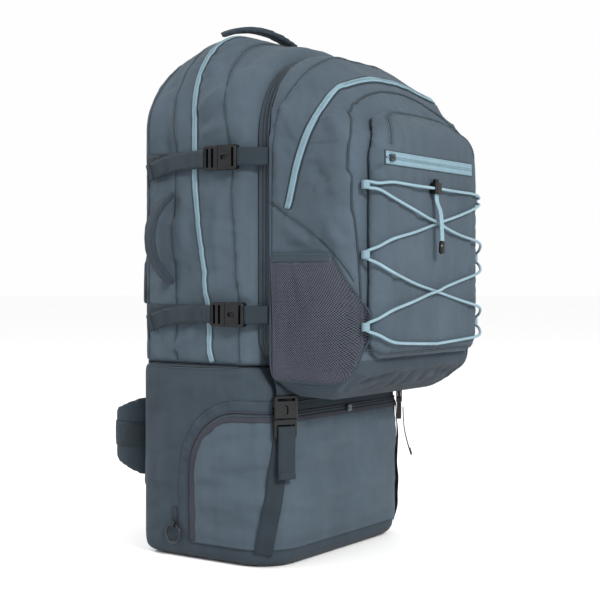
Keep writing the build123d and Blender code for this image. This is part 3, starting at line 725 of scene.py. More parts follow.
main_shell = remeshed("main_shell", "main_compartment", 6.5, "bag")
base_shell = remeshed("base_shell", "base_compartment", 6.5, "base")
day_shell = remeshed("daypack_shell", "daypack_compartment", 5.5, "bag")
front_shell = remeshed("front_pocket_shell", "front_pocket", 5.0, "bag")
pad_nodes = {
    "shoulder_strap_left": 5.0, "shoulder_strap_right": 5.0,
    "hip_wing_left": 4.5, "hip_wing_right": 4.5, "lumbar_pad": 4.5, "back_panel": 4.5,
    "top_handle": 3.2, "side_handle_left": 3.2, "side_handle_right": 3.2,
}
pads = {node: remeshed(f"{node}_pad", node, size, "pad", 3) for node, size in pad_nodes.items()}


def strongest(*weights):
    """The largest of several weights at each point."""
    return np.maximum.reduce(weights)


def main_hold():
    p = places(main_shell)
    _, y, z = p.T
    boxes = [((0, 27, 738), (96, 14, 10), 10)]
    for side in SIDES.values():
        boxes += [((side * FLANK, 28, height), (12, 76, 15), 16) for height, _ in BUCKLE_AT.values()]
        boxes += [((side * FLANK, 50, foot), (10, 9, 12), 16) for foot in (382, 500)]
        boxes.append(((side * 64, 96, 706), (16, 30, 18), 10))
    return strongest(
        1 - ease(z, 262, 292), ease(y, 98, 112), 1 - ease(y, -84, -70),
        0.75 * np.exp(-(((y - 16) / 9) ** 2)), 0.9 * ease(z, 690, 730),
        *[box_hold(p, *box) for box in boxes],
    )


def base_hold():
    p = places(base_shell)
    _, y, z = p.T
    flap = (1 - ease(y, 20, 34)) * (1 - ease(z, 200, 214))
    boxes = []
    for side in SIDES.values():
        boxes.append(((side * BASE_FLANK, 50, 42), (12, 16, 24), 14))
        boxes.append(((side * 150, -118, 215), (30, 24, 26), 12))
    return strongest(
        1 - ease(z, -6, 16), ease(z, 236, 258), flap, ease(y, 98, 112), 1 - ease(y, -90, -78),
        *[box_hold(p, *box) for box in boxes],
    )


def day_hold():
    x, y, z = places(day_shell).T
    pocket = ease(np.abs(x), 150, 158) * (1 - ease(z, 418, 440)) * ease(y, -236, -222)
    zip_gap = np.abs((y + 150) + (z - 530) * 0.325)
    near_zip = 0.8 * np.exp(-((zip_gap / 12) ** 2)) * ease(z, 470, 490)
    top, bottom = 0.5 * ease(z, 600, 660), 1 - ease(z, 222, 240)
    return strongest(ease(y, -122, -108), 1 - ease(y, -246, -236), pocket, near_zip, top, bottom)


def front_hold():
    _, y, z = places(front_shell).T
    zip_band = 0.9 * np.exp(-(((z - POCKET_ZIP_Z) / 12) ** 2))
    return np.maximum(strongest(ease(y, -256, -247), zip_band), 0.35)


def pad_hold(node):
    x, y, z = places(pads[node]).T
    if node == "back_panel":
        return strongest(1 - ease(y, 125, 129), np.exp(-((x / 15) ** 2)))
    if node == "lumbar_pad":
        return 1 - ease(y, 136, 139)
    if node.startswith("shoulder"):
        return np.maximum(ease(z, 670, 684), 0.3)
    if node.startswith("hip"):
        return 1 - ease(y, 144, 153)
    if node == "top_handle":
        return ease(np.abs(x), 74, 88)
    return ease(np.abs(z - 441), 46, 58)


jobs = [
    (main_shell, main_hold(), 8.0, 4.0, 0.03),
    (base_shell, base_hold(), 6.0, 4.0, 0.03),
    (day_shell, day_hold(), 8.0, 4.0, 0.035),
    (front_shell, front_hold(), 1.6, 3.0, 0.03),
]
jobs += [(pad, pad_hold(node), 2.2, 1.5, 0.0) for node, pad in pads.items()]
swell(jobs)
for shell in (main_shell, base_shell, day_shell, front_shell, *pads.values()):
    refine(shell)

# --- lines that zips and seams follow -------------------------------------------------------
# The main bag's, each as y for some heights.
STRIPE_Y = [(250, -15), (330, -7.5), (410, 0), (500, 16), (760, 16)]
GUSSET_Y = [(250, -62), (360, -60), (520, -50), (640, -39), (700, -33), (760, -28)]
PANEL_Y = [(250, 50), (500, 52), (640, 50), (760, 42)]
PIPING_Y = [(250, 106), (600, 106), (660, 100), (760, 92)]


def read_off(table, z):
    for (z0, y0), (z1, y1) in zip(table, table[1:]):
        if z <= z1:
            return y0 + (y1 - y0) * (z - z0) / (z1 - z0)
    return table[-1][1]


ARCH_TOP, ARCH_R = 740.0, 122.0  # the main bag's top, and its upper corners' radius


def over_arch(table):
    """A line up one flank of the main bag, over its top and down the other flank."""
    right = [(FLANK, z) for z in (268, 330, 400, 460, 520, 580, ARCH_TOP - ARCH_R)]
    turns = [radians(a) for a in (18, 36, 54, 72, 90)]
    right += [(FLANK - ARCH_R + ARCH_R * cos(a), ARCH_TOP - ARCH_R + ARCH_R * sin(a)) for a in turns]
    right += [(20, ARCH_TOP)]
    left = [(-x, z) for x, z in right]
    return [(x, read_off(table, z), z) for x, z in left + right[::-1]]


DAY_SEAM = [(-165, -111, 262), (-165, -110, 380), (-165, -110, 480), (-164, -113, 560), (-156, -121, 612),
            (-134, -134, 656), (-100, -144, 683), (-56, -148, 696), (0, -149, 698)]
DAY_ZIP = [(-165, -137, 478), (-165, -150, 530), (-162, -167, 578), (-148, -180, 611), (-124, -188, 636),
           (-90, -193, 652), (-46, -196, 660), (0, -197, 662)]
DAY_SLANT = [(-165, -108, 486), (-165, -135, 470), (-165, -170, 452), (-165, -196, 430), (-164, -222, 404),
             (-158, -238, 380)]


def both_ways(half_route):
    return half_route + [(-x, y, z) for x, y, z in half_route[-2::-1]]


def flip(route, side):
    return [(x * -side, y, z) for x, y, z in route]


# --- the outline, let down after the simulation ---------------------------------------------
def sag_shoulders(piece, depth, start):
    """Lets the cloth behind the main zip sink towards the bag's two rear shoulders."""
    p = places(piece)
    back = ease(p[:, 1], start, 124) * ease(p[:, 2], 560, 690)
    p[:, 2] -= depth * back * np.clip(np.abs(p[:, 0]) / 150, 0, 1) ** 1.4
    put(piece, p)


def slope_daypack(piece):
    """Lets the daypack's top and round shoulders fall away towards its front."""
    p = places(piece)
    forward = ease(-p[:, 1], 112, 195)
    side = ease(np.abs(p[:, 0]), 45, 130) * np.where(p[:, 0] < 0, 1.0, 0.4)
    p[:, 2] -= forward * (4 * ease(p[:, 2], 600, 690) + 22 * side * ease(p[:, 2], 500, 640))
    p[:, 0] *= 1 - 0.035 * forward * ease(p[:, 2], 480, 600)
    put(piece, p)


def lean_pocket(piece):
    """Raises the front pocket's top edge and lays it back against the daypack."""
    p = places(piece)
    up = ease(p[:, 2], 556, 628)
    corner = ease(np.abs(p[:, 0]), 62, 143)
    p[:, 2] += 22 * up * (1 - corner) - 6 * up * corner
    p[:, 1] += 24 * up ** 1.5
    put(piece, p)


def sink_top(piece):
    """Lets the top in front of the main zip fall away towards the daypack."""
    p = places(piece)
    forward = ease(-p[:, 1], -16, 50) * ease(p[:, 2], 600, 735)
    p[:, 2] -= forward * (17 + 12 * ease(np.abs(p[:, 0]), 20, 110))
    put(piece, p)


slope_daypack(day_shell)
lean_pocket(front_shell)
sag_shoulders(main_shell, depth=37, start=18)
sink_top(main_shell)
sag_shoulders(pads["back_panel"], depth=16, start=100)


# --- the folds ------------------------------------------------------------------------------
def mirrored(lines, strength=1.0, spread=1.0):
    """Folds for the left side and then the same ones for the right, which all fade out."""
    result = []
    for side in SIDES.values():
        for route, height, width in lines:
            route = [(side * x, y, z) for x, y, z in route]
            result.append((route, strength * height, spread * width, True))
    return result


MAIN_FOLDS = [
    ([(FLANK, -40, 650), (FLANK, -15, 632), (FLANK, 8, 617)], 3.4, 9),
    ([(FLANK, -38, 627), (FLANK, -12, 606), (FLANK, 8, 596)], -2.6, 8),
    ([(FLANK, -40, 600), (FLANK, -20, 592), (FLANK, 4, 586)], 2.8, 8),
    ([(150, -34, 700), (158, -10, 684), (165, 8, 664)], 3.6, 9),
    ([(120, -28, 722), (132, -6, 716), (142, 12, 704)], -3.0, 9),
    ([(96, -28, 738), (110, -12, 731), (122, 8, 722)], 3.0, 9),
    ([(FLANK, 30, 520), (FLANK, 42, 470), (FLANK, 36, 420)], 2.4, 12),
    ([(FLANK, 70, 640), (FLANK, 66, 580), (FLANK, 74, 520)], -2.6, 13),
    ([(FLANK, 78, 480), (FLANK, 70, 400), (FLANK, 78, 330)], 2.8, 14),
    ([(FLANK, -30, 515), (FLANK, -25, 440), (FLANK, -32, 380)], 2.0, 14),
    ([(FLANK, 20, 322), (FLANK, 30, 300), (FLANK, 60, 285)], 2.2, 9),
    ([(FLANK, -78, 500), (FLANK, -74, 430), (FLANK, -78, 360)], -2.0, 9),
    ([(150, 70, 704), (160, 66, 680), (168, 72, 650)], -3.2, 10),
    ([(120, 78, 712), (138, 74, 700), (150, 80, 684)], 3.2, 9),
]
main_seams = [(over_arch(GUSSET_Y), -1.5, 3.2, False), (over_arch(PANEL_Y), -1.3, 3.0, False)]
raise_lines(main_shell, main_seams + mirrored(MAIN_FOLDS, 2.3, 0.8))
_, y, z = places(main_shell).T
loose = (1 - ease(y, 96, 108)) * ease(y, -84, -70) * ease(z, 270, 300)
rumple(main_shell, 2.6, (14, 14, 6), loose * (1 - 0.7 * ease(z, 700, 735)) * 0.9, 3.0)

BASE_FOLDS = [
    ([(BASE_FLANK, 70, 205), (BASE_FLANK, 66, 150), (BASE_FLANK, 74, 90)], 3.2, 14),
    ([(BASE_FLANK, 92, 190), (BASE_FLANK, 86, 130), (BASE_FLANK, 90, 70)], -2.8, 12),
    ([(BASE_FLANK, 44, 120), (BASE_FLANK, 56, 90), (BASE_FLANK, 76, 60)], -2.4, 10),
    ([(BASE_FLANK, 46, 240), (BASE_FLANK, 10, 236), (BASE_FLANK, -40, 240)], 2.2, 10),
    ([(BASE_FLANK, 60, 60), (BASE_FLANK, 84, 40), (BASE_FLANK, 96, 30)], 2.6, 9),
]
gathers = []
for i, degrees in enumerate((8, 20, 31, 43, 54, 66, 78)):
    a = radians(degrees)
    gather = [(BASE_FLANK, -63 + r * cos(a), 113 + r * sin(a)) for r in (88, 96, 104)]
    gathers.append((gather, 2.4 if i % 2 else -2.0, 5))
raise_lines(base_shell, mirrored(BASE_FOLDS + gathers))
_, y, z = places(base_shell).T
off_flap = np.maximum(ease(y, 26, 44), ease(z, 208, 222))
loose = ease(z, 12, 28) * (1 - ease(z, 244, 256)) * (1 - ease(y, 100, 112))
rumple(base_shell, 3.4, (13, 13, 9), off_flap * loose, 5.0)

DAY_FOLDS = [
    ([(160, -232, 520), (164, -205, 500), (DAY_FLANK, -182, 506)], 4.2, 12),
    ([(DAY_FLANK, -172, 545), (163, -190, 520), (160, -214, 470)], -3.8, 13),
    ([(DAY_FLANK, -200, 470), (164, -212, 440), (160, -228, 425)], 3.2, 10),
    ([(160, -185, 610), (155, -206, 590), (150, -228, 560)], 3.8, 13),
    ([(140, -200, 640), (138, -214, 615), (140, -232, 590)], -2.8, 11),
    ([(DAY_FLANK, -128, 462), (DAY_FLANK, -150, 446), (DAY_FLANK, -176, 430)], 2.4, 9),
    ([(DAY_FLANK, -118, 590), (DAY_FLANK, -122, 540), (DAY_FLANK, -116, 500)], 1.6, 10),
    ([(60, -232, 250), (110, -228, 246), (150, -205, 250)], -2.4, 9),
    ([(20, -236, 262), (70, -240, 268), (120, -232, 262)], 2.4, 9),
]
day_seams = [(both_ways(DAY_SEAM), -1.4, 3.0, False)]
day_seams += [(flip(DAY_SLANT, side), -1.6, 3.2, False) for side in SIDES.values()]
raise_lines(day_shell, day_seams + mirrored(DAY_FOLDS, 2.2, 0.85))
_, y, z = places(day_shell).T
loose = (1 - ease(y, -118, -106)) * ease(y, -246, -238) * ease(z, 226, 240)
rumple(day_shell, 3.0, (13, 13, 9), loose, 8.0)
NET_REACH = ([240, 262, 300, 340, 412, 430], [-215, -235, -249, -251, -207, -207])  # heights, y


# Where the daypack's cloth lies inside the mesh pockets, which gets painted shade.
def behind_net(x, y, z):
    return (abs(x) > 136) & (y < -112) & (z > 247) & (z < 404) & (y > np.interp(z, *NET_REACH))


paint(day_shell, "base", lambda x, y, z: (z < 262) | ((y < -240) & (z < 276)))
# painted shade: the cloth inside the mesh pockets is darkened so that it shows dark through the net's holes
paint(day_shell, "dark", behind_net)

side_panel = [(128, 590), (124, 520), (112, 430), (104, 350), (100, 290)]
FRONT_FOLDS = [
    ([(x, POCKET_Y, z) for x, z in side_panel], -1.8, 7),
    ([(112, POCKET_Y, 500), (98, POCKET_Y, 430), (90, POCKET_Y, 350)], 1.5, 9),
    ([(60, POCKET_Y, 520), (40, POCKET_Y, 480), (50, POCKET_Y, 420)], -1.6, 12),
    ([(70, POCKET_Y, 400), (30, POCKET_Y, 380), (-10, POCKET_Y, 350)], -1.4, 10),
]
raise_lines(front_shell, mirrored(FRONT_FOLDS, 1.7))
_, _, z = places(front_shell).T
rumple(front_shell, 1.9, (11, 11, 7), (1 - np.exp(-(((z - POCKET_ZIP_Z) / 14) ** 2))) * 0.9, 11.0)


def press_flat(piece, centre, half, y, soft=9.0):
    """Presses the cloth's front flat, where a zip or a lock lies on it."""
    p = places(piece)
    flat = box_hold(p, centre, half, soft) * (outward(piece)[:, 1] < -0.5)
    p[:, 1] += (y - p[:, 1]) * flat
    put(piece, p)


press_flat(front_shell, (-8, POCKET_Y, 508), (11, 12, 10), -269.6)
press_flat(front_shell, (-11, POCKET_Y, POCKET_ZIP_Z), (128, 12, 8), -269.6)
settle(main_shell, "main_pack", "bag_fabric", "main_compartment")
settle(base_shell, "main_pack", "base_fabric", "base_compartment")
settle(day_shell, "daypack", "bag_fabric", "daypack_compartment")
settle(front_shell, "daypack", "bag_fabric", "front_pocket")
main_skin = Surface(main_shell, base_shell)
day_skin = Surface(day_shell, front_shell)


# --- trims ----------------------------------------------------------------------------------
def sided(side, *points):
    """Points given for the right side, on the side that is asked for."""
    return [(side * x, y, z) for x, y, z in points]


def trim(name, body, slot, skin, route, width, thick, material, lift=0.3, nodes=(), spacing=4.0, smooth=2):
    """A tape laid on a skin."""
    points, normals = skin.lay(route, spacing, 0.0, smooth)
    tape = strip(name, points, normals, width, thick, material, skin, lift, 4)
    return settle(tape, body, slot, *nodes)


def seam(name, body, skin, route, radius=0.9, material="binding", stitched=True, lift=0.2):
    """A dark corded seam with a row of stitches on each side."""
    points, normals = skin.lay(route, 3.5, lift, 2)
    settle(tube(name, points, radius, material, 6), body, "bag_fabric")
    if stitched:
        rows = stitches(points, normals, 3.6) + stitches(points, normals, -3.6)
        settle(blocks(f"{name}_stitches", rows, "thread"), body, "bag_fabric")


def coil(name, body, skin, route, half_width, lift, smooth=2):
    """A zip's coil laid on a skin."""
    points, normals = skin.lay(route, 4.0, lift, smooth)
    bars = teeth(points, normals, 1.7, half_width, 0.45)
    return settle(blocks(name, bars, "accent"), body, "zip_tape")


stripe_route = over_arch(STRIPE_Y)
stripe = ("main_pack", "zip_tape", main_skin, stripe_route)
trim("main_zip_ground", *stripe, 13, 0.5, "binding", 0.2, ("main_zip",))
trim("main_zip_tape", *stripe, 8.4, 1.0, "stripe", 0.8)
coil("main_zip_coil", "main_pack", main_skin, stripe_route, 1.3, 1.5)
seam("gusset_seam", "main_pack", main_skin, over_arch(GUSSET_Y))
seam("panel_seam", "main_pack", main_skin, over_arch(PANEL_Y), 0.8)
seam("rear_piping", "main_pack", main_skin, over_arch(PIPING_Y), 2.0, "piping", False, 1.2)

for name, side in SIDES.items():
    base_top = sided(-side, (-174, -60, 262), (-176, 0, 262), (-176, 60, 262), (-173, 102, 262))
    seam(f"base_top_seam_{name}", "main_pack", main_skin, base_top, 1.3, "binding", True, 0.8)
base_front = [(-150, -86, 262), (-80, -88, 262), (0, -88, 262), (80, -88, 262), (150, -86, 262)]
seam("base_front_seam", "main_pack", main_skin, base_front, 1.2)

seam("daypack_gusset_seam", "daypack", day_skin, both_ways(DAY_SEAM))
zip_route = both_ways(DAY_ZIP)
arch = ("daypack", "zip_tape", day_skin, zip_route)
# painted shadow: a dark strip under the daypack's zip tape stands in for the shade in the gap along the zip
trim("daypack_zip_shadow_strip", *arch, 15, 0.5, "dark", 0.2, ("daypack_zip",), smooth=9)
trim("daypack_zip_tape", *arch, 9.2, 1.1, "stripe", 0.8, smooth=9)
coil("daypack_zip_coil", "daypack", day_skin, zip_route, 1.4, 1.6, 9)
for name, side in SIDES.items():
    seam(f"daypack_slant_seam_{name}", "daypack", day_skin, flip(DAY_SLANT, side))

pocket_edge = [(-148, -246, 300), (-150, -243, 380), (-153, -237, 440), (-156, -230, 500), (-156, -228, 548),
               (-146, -226, 596), (-120, -222, 624), (-70, -216, 642), (0, -214, 648)]
seam("front_pocket_seam", "daypack", day_skin, both_ways(pocket_edge), 1.7, "binding", False, 0.4)
panel_edge = [(-118, -270, 560), (-108, -264, 590), (-88, -250, 606), (-50, -244, 614), (0, -243, 616)]
seam("front_panel_seam", "daypack", day_skin, both_ways(panel_edge), 0.9, "binding", True, 0.3)
hem = [(-150, -244, 296), (-132, -262, 284), (-90, -270, 280), (0, -271, 278)]
seam("front_hem_seam", "daypack", day_skin, both_ways(hem), 1.1)
day_low = [(-165, -112, 252), (-165, -150, 244), (-163, -190, 246), (-158, -224, 262), (-150, -240, 292)]
for name, side in SIDES.items():
    seam(f"daypack_low_seam_{name}", "daypack", day_skin, flip(day_low, side), 1.1)


# --- the zip that joins the two bags --------------------------------------------------------
def ring_line(half, low, top, low_radius, top_radius, y):
    """A closed rounded rectangle seen from the front: its points and outward normals."""
    points = []
    normals = []
    right, high, turn = half - top_radius, top - top_radius, top_radius
    corners = [(right, high, turn, 0), (-right, high, turn, 90),
               (low_radius - half, low + low_radius, low_radius, 180),
               (half - low_radius, low + low_radius, low_radius, 270)]
    for x, z, radius, start in corners:
        for i in range(13):
            a = radians(start + 90 * i / 12)
            points.append(vec((x + radius * cos(a), y, z + radius * sin(a))))
            normals.append(Vector((cos(a), 0, sin(a))))
    dense = []
    dense_normals = []
    count = len(points)
    for i in range(count):
        j = (i + 1) % count
        steps = max(1, round((points[j] - points[i]).length / (5 * MM)))
        for k in range(steps):
            dense.append(points[i].lerp(points[j], k / steps))
            dense_normals.append(normals[i].lerp(normals[j], k / steps).normalized())
    return dense, dense_normals


def joining_half(name, body, node, y, width, coil_y):
    points, normals = ring_line(158.4, 267.6, 691.4, 38.4, 111.4, y)
    tape = strip(f"{name}_tape", points, normals, width, 1.4, "dark", columns=4, closed=True)
    settle(tape, body, "joining_zip", node)
    points, normals = ring_line(159.4, 266.6, 692.4, 39.4, 112.4, coil_y)
    bars = teeth(points + points[:1], normals + normals[:1], 2.0, 1.6, 0.55)
    settle(blocks(f"{name}_coil", bars, "thread"), body, "joining_zip")


def joining_lip(name, body, y, grow):
    """The corded edge that covers one half of the joining zip."""
    points, _ = ring_line(158.4 + grow, 267.6 - grow, 691.4 + grow, 39, 112, y)
    settle(tube(name, points + points[:1], 1.7, "binding", 8), body, "joining_zip")


joining_half("joining_rear", "main_pack", "joining_zip_rear", -89.0, 5.4, -89.6)
joining_half("joining_front", "daypack", "joining_zip_front", -98.0, 11.4, -94.6)
joining_lip("joining_rear_lip", "main_pack", -87.0, 1.2)
joining_lip("joining_front_lip", "daypack", -102.4, 2.2)


# --- base flap ------------------------------------------------------------------------------
FLAP_BACK, FLAP_LOW, FLAP_HIGH, FLAP_R = 17.0, 14.0, 193.0, 80.0
CORNER = 60.0  # radius of the base's round front corners
CORNER_X, CORNER_Y = 118, -64  # their middle
SIDE_RUN = FLAP_BACK - CORNER_Y
FRONT_RUN = 2.0 * CORNER_X
ARC_RUN = CORNER * pi / 2


def round_base(s):
    """The base's outline seen from above, s mm along it from the flap's left rear edge."""
    if s < SIDE_RUN:
        return (-BASE_FLANK, FLAP_BACK - s), (-1, 0)
    s -= SIDE_RUN
    if s < ARC_RUN:
        a = s / CORNER
        return (-CORNER_X - CORNER * cos(a), CORNER_Y - CORNER * sin(a)), (-cos(a), -sin(a))
    s -= ARC_RUN
    if s < FRONT_RUN:
        return (-CORNER_X + s, CORNER_Y - CORNER), (0, -1)
    s -= FRONT_RUN
    if s < ARC_RUN:
        a = s / CORNER
        return (CORNER_X + CORNER * sin(a), CORNER_Y - CORNER * cos(a)), (sin(a), -cos(a))
    s -= ARC_RUN
    return (BASE_FLANK, CORNER_Y + s), (1, 0)


FLAP_RUN = 2 * SIDE_RUN + 2 * ARC_RUN + FRONT_RUN
STRAP_AT = (SIDE_RUN + ARC_RUN * 2 / 3, FLAP_RUN - SIDE_RUN - ARC_RUN * 2 / 3)
CORNER_MIDDLES = (SIDE_RUN + ARC_RUN / 2, FLAP_RUN - SIDE_RUN - ARC_RUN / 2)


def flap_top(s, grow=0.0):
    inner = min(s, FLAP_RUN - s)
    reach = FLAP_R + grow
    back = inner - FLAP_R
    if back >= 0:
        return FLAP_HIGH + grow
    return FLAP_HIGH - FLAP_R + sqrt(max(0.0, reach**2 - back**2))


def base_point(s, z, out):
    (x, y), (nx, ny) = round_base(s)
    return vec((x + nx * out, y + ny * out, z)), Vector((nx, ny, 0))


def step(value, low, high):
    """ease for one number."""
    return float(ease(np.float64(value), low, high))


def waves(x, y, seed):
    return noise.noise(Vector((x, y, seed)))


def flap_swell(s, z):
    """How far the padded flap stands out from the base there."""
    below = flap_top(s) - z
    edge = step(below, 0, 26) * step(z - FLAP_LOW, 0, 26) * step(min(s, FLAP_RUN - s), 0, 22)
    strap = float(np.exp(-((min(abs(s - at) for at in STRAP_AT) / 20) ** 2)))
    corner = step(min(abs(s - at) for at in CORNER_MIDDLES), 20, 75)
    full = (7.0 + 2.4 * waves(s * 0.008, z * 0.01, 2.0)) * (0.35 + 0.65 * corner)
    folds = 8.0 * waves(s * 0.0085, z * 0.030, 7.0) + 3.0 * waves(s * 0.018, z * 0.062, 1.0)
    gathers = 3.4 * waves(s * 0.075, z * 0.012, 4.0) * np.exp(-(max(0.0, below - 4) / 26))
    held = 1 - strap * (0.55 + 0.45 * step(z, 130, 165))
    rise = edge * (full + folds) * held + gathers * held * step(below, 0, 8)
    return max(0.1, 1.2 + rise)


def make_flap():
    columns, rows = 236, 76
    verts = []
    faces = []
    for i in range(columns + 1):
        s = FLAP_RUN * i / columns
        top = flap_top(s)
        for j in range(rows + 1):
            z = FLAP_LOW + (top - FLAP_LOW) * j / rows
            verts.append(base_point(s, z, 0.8 + flap_swell(s, z))[0])
    for i in range(columns):
        for j in range(rows):
            k = i * (rows + 1) + j
            faces.append((k, k + rows + 1, k + rows + 2, k + 1))
    flap = mesh_piece("base_flap_cloth", verts, faces, "bag")
    modify(flap, "SOLIDIFY", thickness=1.2 * MM, offset=-1)
    baked(flap)
    return settle(flap, "main_pack", "bag_fabric", "base_flap")


flap = make_flap()
flap_skin = Surface(base_shell, flap)


def flap_edge(grow, out, low=16.0):
    """A line that follows the flap's arched edge at some distance, and its outward normals."""
    line = []
    back = FLAP_R + grow
    for z in (low, 50, 80, 105):
        line.append((-grow, z))
    for a in (15, 30, 45, 60, 75):
        line.append((FLAP_R - back * cos(radians(a)), FLAP_HIGH - FLAP_R + back * sin(radians(a))))
    s = FLAP_R
    while s < FLAP_RUN - FLAP_R + 1:
        line.append((s, FLAP_HIGH + grow))
        s += 11.15
    line += [(FLAP_RUN - s, z) for s, z in line[8::-1]]
    spots = []
    sides = []
    for s, z in line:
        spot, side = base_point(min(FLAP_RUN - 0.001, max(0.001, s)), z, out)
        beyond = max(0.0, -s, s - FLAP_RUN)
        spots.append(spot + Vector((0, beyond * MM, 0)))
        sides.append(side)
    fine = curve_through(spots, 3.5)
    normals = []
    for p in fine:
        k = min(range(len(spots)), key=lambda i: (spots[i] - p).length)
        normals.append(sides[k])
    normals = [n.normalized() for n in smooth_vectors(normals, 8)]
    return fine, normals


points, normals = flap_edge(3.4, 0.5)
# the base zip's tape, in dark cloth that is also painted shadow along the flap's edge
settle(strip("base_zip_tape_and_shadow_line", points, normals, 6.4, 0.5, "dark"), "main_pack", "zip_tape", "base_zip")
bars = teeth([p + n * 0.6 * MM for p, n in zip(points, normals)], normals, 1.9, 1.5, 0.4)
settle(blocks("base_zip_coil", bars, "thread"), "main_pack", "zip_tape")
points, normals = flap_edge(-1.6, 2.4)
settle(strip("base_flap_binding", points, normals, 7.0, 1.0, "lining"), "main_pack", "zip_tape")
points, normals = flap_edge(8.2, 0.7)
settle(tube("base_zip_piping", points, 1.2, "lining", 8), "main_pack", "zip_tape")
points, normals = flap_edge(25.0, 0.3, 30)
points = [flap_skin.drop(p)[0] for p in points]
settle(tube("base_arch_seam", points, 0.9, "binding", 6), "main_pack", "base_fabric")
settle(blocks("base_arch_stitches", stitches(points, normals, 3.4), "thread"), "main_pack", "base_fabric")


# --- straps between the bags ----------------------------------------------------------------
WEBBING = 25  # width of the wide straps
WEB_LOOK = ("webbing", "webbing")  # material and slot


def web(name, body, route, normals, width, thick, nodes=(), crosses=None, look=WEB_LOOK, spacing=3.0):
    """A webbing strap on its own smooth line. Its outward normals are a list, or one tuple for all
    of it. A strap that crosses a joint is given the other body and where it starts and ends, which are
    not used: it is left on no body, with its placement baked in."""
    points = curve_through([vec(p) for p in route], spacing)
    if isinstance(normals, tuple):
        normals = [normals] * 2
    along = []
    for i in range(len(points)):
        t = i / (len(points) - 1) * (len(normals) - 1)
        k = min(int(t), len(normals) - 2)
        along.append(Vector(normals[k]).lerp(Vector(normals[k + 1]), t - k).normalized())
    material, slot = look
    piece = strip(name, points, along, width, thick, material)
    if crosses is None:
        return settle(piece, body, slot, *nodes)
    if nodes:
        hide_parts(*nodes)
    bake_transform(piece)
    return piece


def cross_stitch(name, centre, up, side, out, height, width):
    """A sewn box with a cross in it."""
    c, u, w, n = vec(centre), Vector(up) * height / 2 * MM, Vector(side) * width / 2 * MM, Vector(out)
    corners = [c + u * a + w * b for a, b in ((-1, -1), (1, -1), (1, 1), (-1, 1))]
    rows = []
    for i, j in ((0, 1), (1, 2), (2, 3), (3, 0), (0, 2), (1, 3)):
        line = spaced([corners[i], corners[j]], 1.0)
        rows += stitches(line, [n] * len(line), 0, 2.2, 1.0, 0.15)
    settle(blocks(name, rows, "thread"), "main_pack", "webbing")


first_nodes = {"compression": ("compression_straps",), "base": ("base_webbing",), "tabs": ("daypack_tabs",)}
for name, side in SIDES.items():
    out = (side, 0, 0)
    for level, (height, mouth) in BUCKLE_AT.items():
        plug = f"{level}_plug_{name}"
        route = [(side * 176.0, y, height) for y in (106, 70, 40, 16, mouth + 9)]
        laid = ("main_pack", "webbing", main_skin, route, WEBBING, 1.3, "webbing", 1.9)
        trim(f"{level}_strap_{name}", *laid, first_nodes.pop("compression", ()), 4, 1)
        tail = sided(side, (186.0, mouth + 25, height), (182.2, mouth + 38, height), (180.6, 40, height - 2),
                     (181.4, 70, height - 7), (182.2, 96, height - 16))
        web(f"{level}_strap_tail_{name}", plug, tail, out, WEBBING, 1.3)
        hem = sided(side, (183.0, 89, height - 13.5), (183.3, 95, height - 15.6))
        web(f"{level}_strap_hem_{name}", plug, hem, out, WEBBING, 1.4)
        sewn_at = (side * 178.0, 88, height)
        cross_stitch(f"{level}_strap_sewing_{name}", sewn_at, (0, 1, 0), (0, 0, 1), out, 14, 19)
        end = mouth - 32.4
        tab = sided(side, (182.4, end + 5, height), (182.6, end - 3, height), (178.0, end - 14, height),
                    (170.0, -98, height), (164.0, -104, height))
        turning = sided(side, (1, 0, 0), (1, -0.1, 0), (1, 0.35, 0), (1, 0.5, 0), (1, 0.6, 0))
        web(f"{level}_tab_{name}", "daypack", tab, turning, WEBBING, 1.5, first_nodes.pop("tabs", ()))


def off_corner(side, turn, stand, z):
    """A point that stands off the base's round front corner, turned round it from the front."""
    reach = CORNER + stand
    return (side * (CORNER_X + reach * sin(turn)), CORNER_Y - reach * cos(turn), z)


